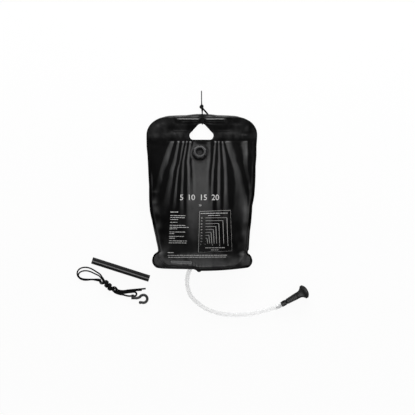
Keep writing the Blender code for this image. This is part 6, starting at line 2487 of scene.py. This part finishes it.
@dataclass(frozen=True)
class CordHook:
    """The moulded hook: a bent rod with a ball tip, flowing into an eye block."""

    middle: Flat = (-0.2173, -0.3508)
    bend_radius: float = 0.0145
    rod_radius: float = 0.0052
    ball_radius: float = 0.0060
    ball_out: float = 0.0033
    start_angle: float = math.radians(150)
    end_angle: float = math.radians(-112)
    ball_angle: float = math.radians(-130)
    shank_x: float = -0.2625
    shank_y: float = -0.3476
    eye_x: Flat = (-0.2625, -0.2515)
    eye_top_y: float = -0.3345
    eye_height: float = 0.0094
    eye_bore: float = 0.0025
    eye_place: Flat = (-0.3404, 0.0040)
    voxel: float = 0.00055

    def add(self) -> None:
        """Join the rod, the ball and the block, round where they meet, and bore the eye."""
        height = self.ball_radius
        x, y = self.middle
        angles = np.linspace(self.start_angle, self.end_angle, 25)
        bend = [(x + self.bend_radius * math.cos(a), y + self.bend_radius * math.sin(a)) for a in angles]
        reach = self.bend_radius + self.ball_out
        tip = (x + reach * math.cos(self.ball_angle), y + reach * math.sin(self.ball_angle), height)
        shank_end = (bend[0][0] - 2 * self.rod_radius, self.shank_y, height)
        start = (self.shank_x, self.shank_y, height)
        halfway = ((start[0] + shank_end[0]) / 2, self.shank_y, height)
        route = [start, halfway, shank_end, *((px, py, height) for px, py in bend), tip]
        shape = bmesh.new()
        rod = tube_mesh("hook_rod", smooth_route(route, 0.0012), self.rod_radius, 24)
        shape.from_mesh(rod)
        bpy.data.meshes.remove(rod)
        bmesh.ops.create_uvsphere(
            shape, u_segments=32, v_segments=20, radius=self.ball_radius, matrix=Matrix.Translation(tip)
        )
        eye_start, eye_end = self.eye_x
        centre = ((eye_start + eye_end) / 2, (self.eye_top_y + self.shank_y) / 2, self.eye_height / 2)
        size = (eye_end - eye_start, self.eye_top_y - self.shank_y, self.eye_height, 1.0)
        block = bmesh.ops.create_cube(
            shape, size=1.0, matrix=Matrix.Translation(centre) @ Matrix.Diagonal(size)
        )
        edges = {edge for vertex in block["verts"] for edge in vertex.link_edges}
        bmesh.ops.bevel(shape, geom=list(edges), offset=0.0018, segments=3, profile=0.5, affect="EDGES")
        mesh = bpy.data.meshes.new("hook_blank")
        shape.to_mesh(mesh)
        shape.free()
        hook = helper("hook_blank", mesh)
        join = hook.modifiers.new("Join", "REMESH")
        join.mode = "VOXEL"
        join.voxel_size = self.voxel
        soften = hook.modifiers.new("Soften", "SMOOTH")
        soften.factor = 0.5
        soften.iterations = 4
        drill = bmesh.new()
        eye_y, eye_z = self.eye_place
        bore = Matrix.Translation((centre[0], eye_y, eye_z)) @ Matrix.Rotation(math.pi / 2, 4, "Y")
        bmesh.ops.create_cone(
            drill, cap_ends=True, segments=24, radius1=self.eye_bore, radius2=self.eye_bore, depth=0.03,
            matrix=bore,
        )
        solid = drilled("moulded_hook", hook, drill, 50)
        place_piece("moulded_hook", solid, HOOK_FINISH, Body.HOOK, "cord_hook")


@dataclass(frozen=True)
class SpareCord:
    """The spare cord: a hank of two loops, a wrapped knot, and a turn through the hook's eye."""

    radius: float = 0.0023
    plump: float = 0.0004
    knot_plump: float = 0.0013
    rest: float = 0.0026
    fine: float = 0.0012
    knot: Flat = (-0.3490, -0.3005)
    heading: float = math.radians(-43)
    half_length: float = 0.037
    raised_half_length: float = 0.0155
    core_offset: float = 0.0022
    half_width: float = 0.0086
    half_height: float = 0.0078
    turns: float = 2.5
    turn_run: float = 0.028
    ease: float = 0.85
    spread_start: float = 0.006
    wrap_step: float = 0.0052
    steps: int = 44
    loop_sides: tuple[float, ...] = (0.0068, 0.0018, -0.0044, -0.0098)
    hook_sides: tuple[float, ...] = (0.0022, -0.0027, 0.0122, 0.0073)
    eye_turn_x: float = -0.2505
    eye_turn_high: Flat = (-0.3252, 0.0042)
    eye_turn_low: Flat = (-0.3404, 0.0040)
    loop_points: int = 24
    outer_loop: Point = (0.092, 0.031, 0.0)
    inner_loop: Point = (0.0885, 0.0205, -0.0046)
    loop_neck: float = 0.034
    hank: tuple[Flat, ...] = (
        (-0.3761, -0.2753), (-0.3860, -0.2690), (-0.3990, -0.2640), (-0.4150, -0.2595), (-0.4320, -0.2570),
        (-0.4500, -0.2575), (-0.4720, -0.2610),
    )
    long_tail: tuple[Flat, ...] = (
        (-0.3055, -0.3196), (-0.2921, -0.3206), (-0.2764, -0.3185), (-0.2603, -0.3168), (-0.2450, -0.3154),
        (-0.2260, -0.3142), (-0.2091, -0.3127),
    )
    short_tail: tuple[Flat, ...] = (
        (-0.3065, -0.3241), (-0.2921, -0.3250), (-0.2764, -0.3229), (-0.2603, -0.3212), (-0.2450, -0.3199),
        (-0.2237, -0.3186),
    )
    upper_run: tuple[Point, ...] = (
        (-0.3080, -0.3287, 0.0020), (-0.2921, -0.3295, 0.0020), (-0.2764, -0.3274, 0.0020),
        (-0.2610, -0.3257, 0.0032),
    )
    lower_run: tuple[Point, ...] = (
        (-0.3095, -0.3333, 0.0020), (-0.2940, -0.3354, 0.0020), (-0.2816, -0.3388, 0.0022),
        (-0.2720, -0.3403, 0.0034), (-0.2620, -0.3404, 0.0040),
    )

    def knot_place(self, along: float, aside: float, up: float) -> Vector:
        """A place in the knot, along its axis and to its left.

        Args:
            along: How far along its axis.
            aside: How far to the left.
            up: How high.

        Returns:
            The place.
        """
        forward = Vector((math.cos(self.heading), math.sin(self.heading), 0.0))
        left = Vector((-forward.y, forward.x, 0.0))
        return Vector((*self.knot, up)) + forward * along + left * aside

    def strand(self, index: int) -> list[Vector]:
        """One strand through the knot: two in its core, then two wound round them.

        Args:
            index: 0 and 1 for the core, 2 and 3 for the winding.

        Returns:
            Its points, from the loops to the hook.
        """
        wound = index - 2
        core_side = self.core_offset * (1 - 2 * index)
        lead = self.wrap_step * (wound - 0.5)
        points = []
        for step in range(self.steps + 1):
            along = between(-self.half_length, self.half_length, step / self.steps)
            sides = self.hook_sides if along > 0.0 else self.loop_sides
            reach = (abs(along) - self.raised_half_length) / (self.half_length - self.raised_half_length)
            raised = self.half_height * (1.0 - float(smoothstep(reach)))
            if wound < 0:
                aside = between(core_side, sides[index], float(smoothstep(reach)))
                points.append(self.knot_place(along, aside, self.rest + raised))
                continue
            share = min(1.0, max(0.0, (along - lead + self.turn_run) / (2 * self.turn_run)))
            eased_share = between(share, float(smoothstep(share)), self.ease)
            angle = math.pi + math.tau * self.turns * eased_share
            outside = (wound == 0) == (along > 0.0)
            spread_share = (abs(along) - self.spread_start) / (self.turn_run - self.spread_start)
            spread = self.wrap_step * float(smoothstep(spread_share)) if outside else 0.0
            half_width = self.half_width + spread
            easing = float(smoothstep(2.0 * reach - 1.0))
            aside = between(half_width * math.cos(angle), sides[index], easing)
            points.append(self.knot_place(along, aside, self.rest + raised * (1.0 + math.sin(angle))))
        return points

    def eye_turn(self) -> list[Vector]:
        """The half turn round the hook's eye, from its high side to its low side.

        Returns:
            Its points.
        """
        high = Vector((self.eye_turn_x, *self.eye_turn_high))
        low = Vector((self.eye_turn_x, *self.eye_turn_low))
        middle = (high + low) / 2
        out = Vector(((high - low).length / 2, 0.0, 0.0))
        angles = [math.pi / 2 - math.pi * step / 8 for step in range(9)]
        return [middle + out * math.cos(a) + (high - middle) * math.sin(a) for a in angles]

    def loop(self, sizes: Point, start_side: float, end_side: float) -> list[Vector]:
        """One drop-shaped loop of the hank, from the knot round its far end and back.

        Args:
            sizes: Its reach, its half width and how far it lies aside.
            start_side: Where it leaves the knot, to the left of the axis.
            end_side: Where it comes back.

        Returns:
            Its points.
        """
        reach, half_width, shift = sizes
        route = smooth_route([(x, y, self.rest) for x, y in self.hank], self.fine)
        points = []
        for step in range(self.loop_points + 1):
            angle = math.pi * (1.0 - 2.0 * step / self.loop_points)
            along = reach * (1.0 + math.cos(angle)) / 2
            open_share = float(smoothstep(along / self.loop_neck))
            side = start_side if angle > 0.0 else end_side
            aside = between(side, shift, open_share) + half_width * math.sin(angle) * math.cos(angle / 2)
            index = min(len(route) - 2, int(along / self.fine))
            onward = Vector(route[index + 1] - route[index]).normalized()
            spot = Vector(route[index]) + onward * (along - index * self.fine)
            points.append(spot + Vector((onward.y, -onward.x, 0.0)) * aside)
        return points

    def line(self) -> np.ndarray:
        """The cord's middle line, from its long tail's end to its short tail's end.

        Returns:
            Its points.
        """
        outer_core, inner_core, inner_wrap, outer_wrap = (self.strand(index) for index in range(4))
        sides = self.loop_sides
        outer = self.loop(self.outer_loop, sides[0], sides[3])
        inner = self.loop(self.inner_loop, sides[1], sides[2])
        route = [
            *(Vector((x, y, self.rest)) for x, y in reversed(self.long_tail)),
            *reversed(inner_wrap),
            *reversed(inner[1:-1]),
            *inner_core,
            *(Vector(point) for point in self.lower_run),
            *reversed(self.eye_turn()),
            *(Vector(point) for point in reversed(self.upper_run)),
            *reversed(outer_core),
            *outer[1:-1],
            *outer_wrap,
            *(Vector((x, y, self.rest)) for x, y in self.short_tail),
        ]
        return smooth_route(route, self.fine)

    def add(self) -> None:
        line = self.line()
        off = np.linalg.norm(line[:, :2] - np.array(self.knot), axis=1)
        radii = self.radius + self.plump + (self.knot_plump - self.plump) * short_of(off, 0.026, 0.010)
        by_hook = short_of(line[:, 1], -0.3232, 0.003) * past(line[:, 0], -0.312, 0.012)
        at_tail = short_of(self.fine * np.arange(len(line)), 0.034, 0.012)
        radii = radii + 0.0007 * by_hook + 0.0004 * at_tail
        mesh = tube_mesh("spare_cord", line, radii, 12, tip=0.0008)
        piece = place_piece("spare_cord", mesh, CORD_FINISH, Body.HOOK, "hook_cord")


@dataclass(frozen=True)
class HangingString:
    """The string tied round the strip above the cut-out with one hitch."""

    radius: float = 0.0018
    swell: float = 0.0016
    knot: Point = (0.0004, 0.3660, 0.0055)
    fine: float = 0.0012
    route: tuple[Point, ...] = (
        (0.0000, 0.4266, 0.0017), (0.0001, 0.4120, 0.0017), (0.0002, 0.3960, 0.0019),
        (0.0003, 0.3840, 0.0037), (0.0006, 0.3740, 0.0055), (0.0012, 0.3630, 0.0060),
        (0.0020, 0.3520, 0.0068), (0.0027, 0.3390, 0.0103), (0.0030, 0.3250, 0.0131),
        (0.0030, 0.3120, 0.0136), (0.0030, 0.3058, 0.0128), (0.0030, 0.3026, 0.0104),
        (0.0030, 0.3018, 0.0076), (0.0030, 0.3028, 0.0042), (0.0030, 0.3062, 0.0020),
        (0.0030, 0.3140, 0.0017), (0.0030, 0.3300, 0.0017), (0.0031, 0.3420, 0.0018),
        (0.0034, 0.3510, 0.0019), (0.0046, 0.3580, 0.0030), (0.0052, 0.3620, 0.0062),
        (0.0026, 0.3628, 0.0094), (-0.0016, 0.3624, 0.0086), (-0.0045, 0.3650, 0.0056),
        (-0.0040, 0.3692, 0.0030), (-0.0004, 0.3722, 0.0022), (0.0036, 0.3722, 0.0040),
        (0.0048, 0.3688, 0.0072), (0.0040, 0.3650, 0.0086), (0.0056, 0.3606, 0.0070),
        (0.0090, 0.3562, 0.0040), (0.0126, 0.3520, 0.0022), (0.0182, 0.3456, 0.0017),
        (0.0236, 0.3390, 0.0017),
    )

    def add(self) -> None:
        line = smooth_route(self.route, self.fine)
        off = np.linalg.norm(line - np.array(self.knot), axis=1)
        tail = smoothstep((np.arange(len(line)) - len(line) + 26) / 8.0)
        radii = self.radius + self.swell * np.maximum(bell(off, 0.0110), 0.90 * tail)
        mesh = tube_mesh("hanging_cord", line, radii, 12, tip=0.0006)
        piece = place_piece("hanging_cord", mesh, STRING_FINISH, Body.BAG, "hanging_string")


# The studio


@dataclass(frozen=True)
class Softbox:
    """One large soft lamp that faces the set."""

    name: str
    place: Point
    size: Flat
    power: float
    aim: Point = (0.0, -0.02, 0.03)

    def add(self) -> None:
        """Hang the lamp."""
        lamp = bpy.data.lights.new(self.name, "AREA")
        lamp.shape = "RECTANGLE"
        lamp.size, lamp.size_y = self.size
        lamp.energy = self.power
        hung = linked(self.name, lamp)
        hung.location = self.place
        hung.rotation_euler = (Vector(self.aim) - Vector(self.place)).to_track_quat("-Z", "Y").to_euler()
        hung.visible_camera = False


@dataclass(frozen=True)
class Studio:
    """The camera, the lamps, the pale sky and the paper floor."""

    view_x: float = 0.0224
    view_y: float = -0.00935
    distance: float = 12.0
    view_width: float = 1.552
    floor_size: float = 9.0
    lamps: tuple[Softbox, ...] = (
        Softbox("overhead_softbox", (-0.02, 1.50, 2.60), (0.8, 1.36), 10.0),
        Softbox("front_strip", (0.0, -2.24, 1.69), (1.7, 0.45), 9.5),
        Softbox("left_softbox", (-2.5, -0.2, 0.95), (2.6, 1.4), 9.5),
        Softbox("right_softbox", (2.5, 0.1, 0.95), (2.8, 1.5), 15.0),
        Softbox("back_softbox", (0.1, 2.5, 1.0), (3.2, 1.2), 92.0),
    )
    sky: tuple[tuple[float, Colour], ...] = (
        (0.0, (0.6, 0.6, 0.6, 1.0)), (0.30, (0.30, 0.30, 0.30, 1.0)), (0.45, (0.13, 0.13, 0.13, 1.0)),
        (0.60, (0.08, 0.08, 0.08, 1.0)), (0.90, (0.09, 0.09, 0.09, 1.0)), (1.0, (0.11, 0.11, 0.11, 1.0)),
    )
    horizon_glow: float = 1.2

    def add_camera(self) -> None:
        """Hang the camera straight above the set."""
        camera = bpy.data.cameras.new("overhead_camera")
        camera.lens = camera.sensor_width * self.distance / self.view_width
        camera.clip_end = 4 * self.distance
        hung = linked("overhead_camera", camera)
        hung.location = (self.view_x, self.view_y, self.distance)
        bpy.context.scene.camera = hung

    def add_sky(self) -> None:
        """Light the set from a sky that is white at the horizon and dimmer overhead."""
        world = bpy.data.worlds.new("studio_sky")
        world.use_nodes = True
        bench = Bench(world.node_tree)
        way = bench.node("ShaderNodeTexCoord", output="Generated")
        up = bench.axis(way, "Z")
        ahead = bench.maths("ABSOLUTE", bench.axis(way, "Y"))
        tone = bench.node("ShaderNodeValToRGB", {"stops": self.sky}, {0: up})
        glow = up.share(0.42, 0.28) * ahead.share(0.62, 0.88) * self.horizon_glow
        strength = tone + glow
        light = bench.node("ShaderNodeBackground", {}, {"Strength": strength})
        bench.finish_with(light, "ShaderNodeOutputWorld")
        bpy.context.scene.world = world

    def add_floor(self) -> None:
        """Lay the paper floor."""
        half = self.floor_size / 2
        steps = np.linspace(-half, half, 13)
        places = [(x, y, -0.0002) for y in steps for x in steps]
        mesh = mesh_from("paper_floor", places, grid_faces(len(steps) - 1, len(steps) - 1))
        mesh.materials.append(FLOOR.material())
        linked("paper_floor", mesh)

    def add(self) -> None:
        """Set up the studio."""
        self.add_camera()
        self.add_sky()
        self.add_floor()
        for lamp in self.lamps:
            lamp.add()
        bpy.context.scene.view_settings.view_transform = "Standard"


def main() -> None:
    """Set up the studio, then make every piece in order."""
    logging.basicConfig(level=logging.INFO, format="%(message)s")
    Studio().add()
    head = ShowerHead()
    Hose().add(head.where)
    SpareCord().add()
    HangingString().add()
    skin = BagSkin()
    front = skin.add(Panel.FRONT)
    skin.add(Panel.BACK)
    FrontPrint().add(front)
    ThermometerStrip().add(front, skin.shape)
    Filler(skin.shape.filler_frame()).add()
    Outlet().add()
    head.add()
    CarryPipe().add()
    CordHook().add()


if __name__ == "__main__":
    main()
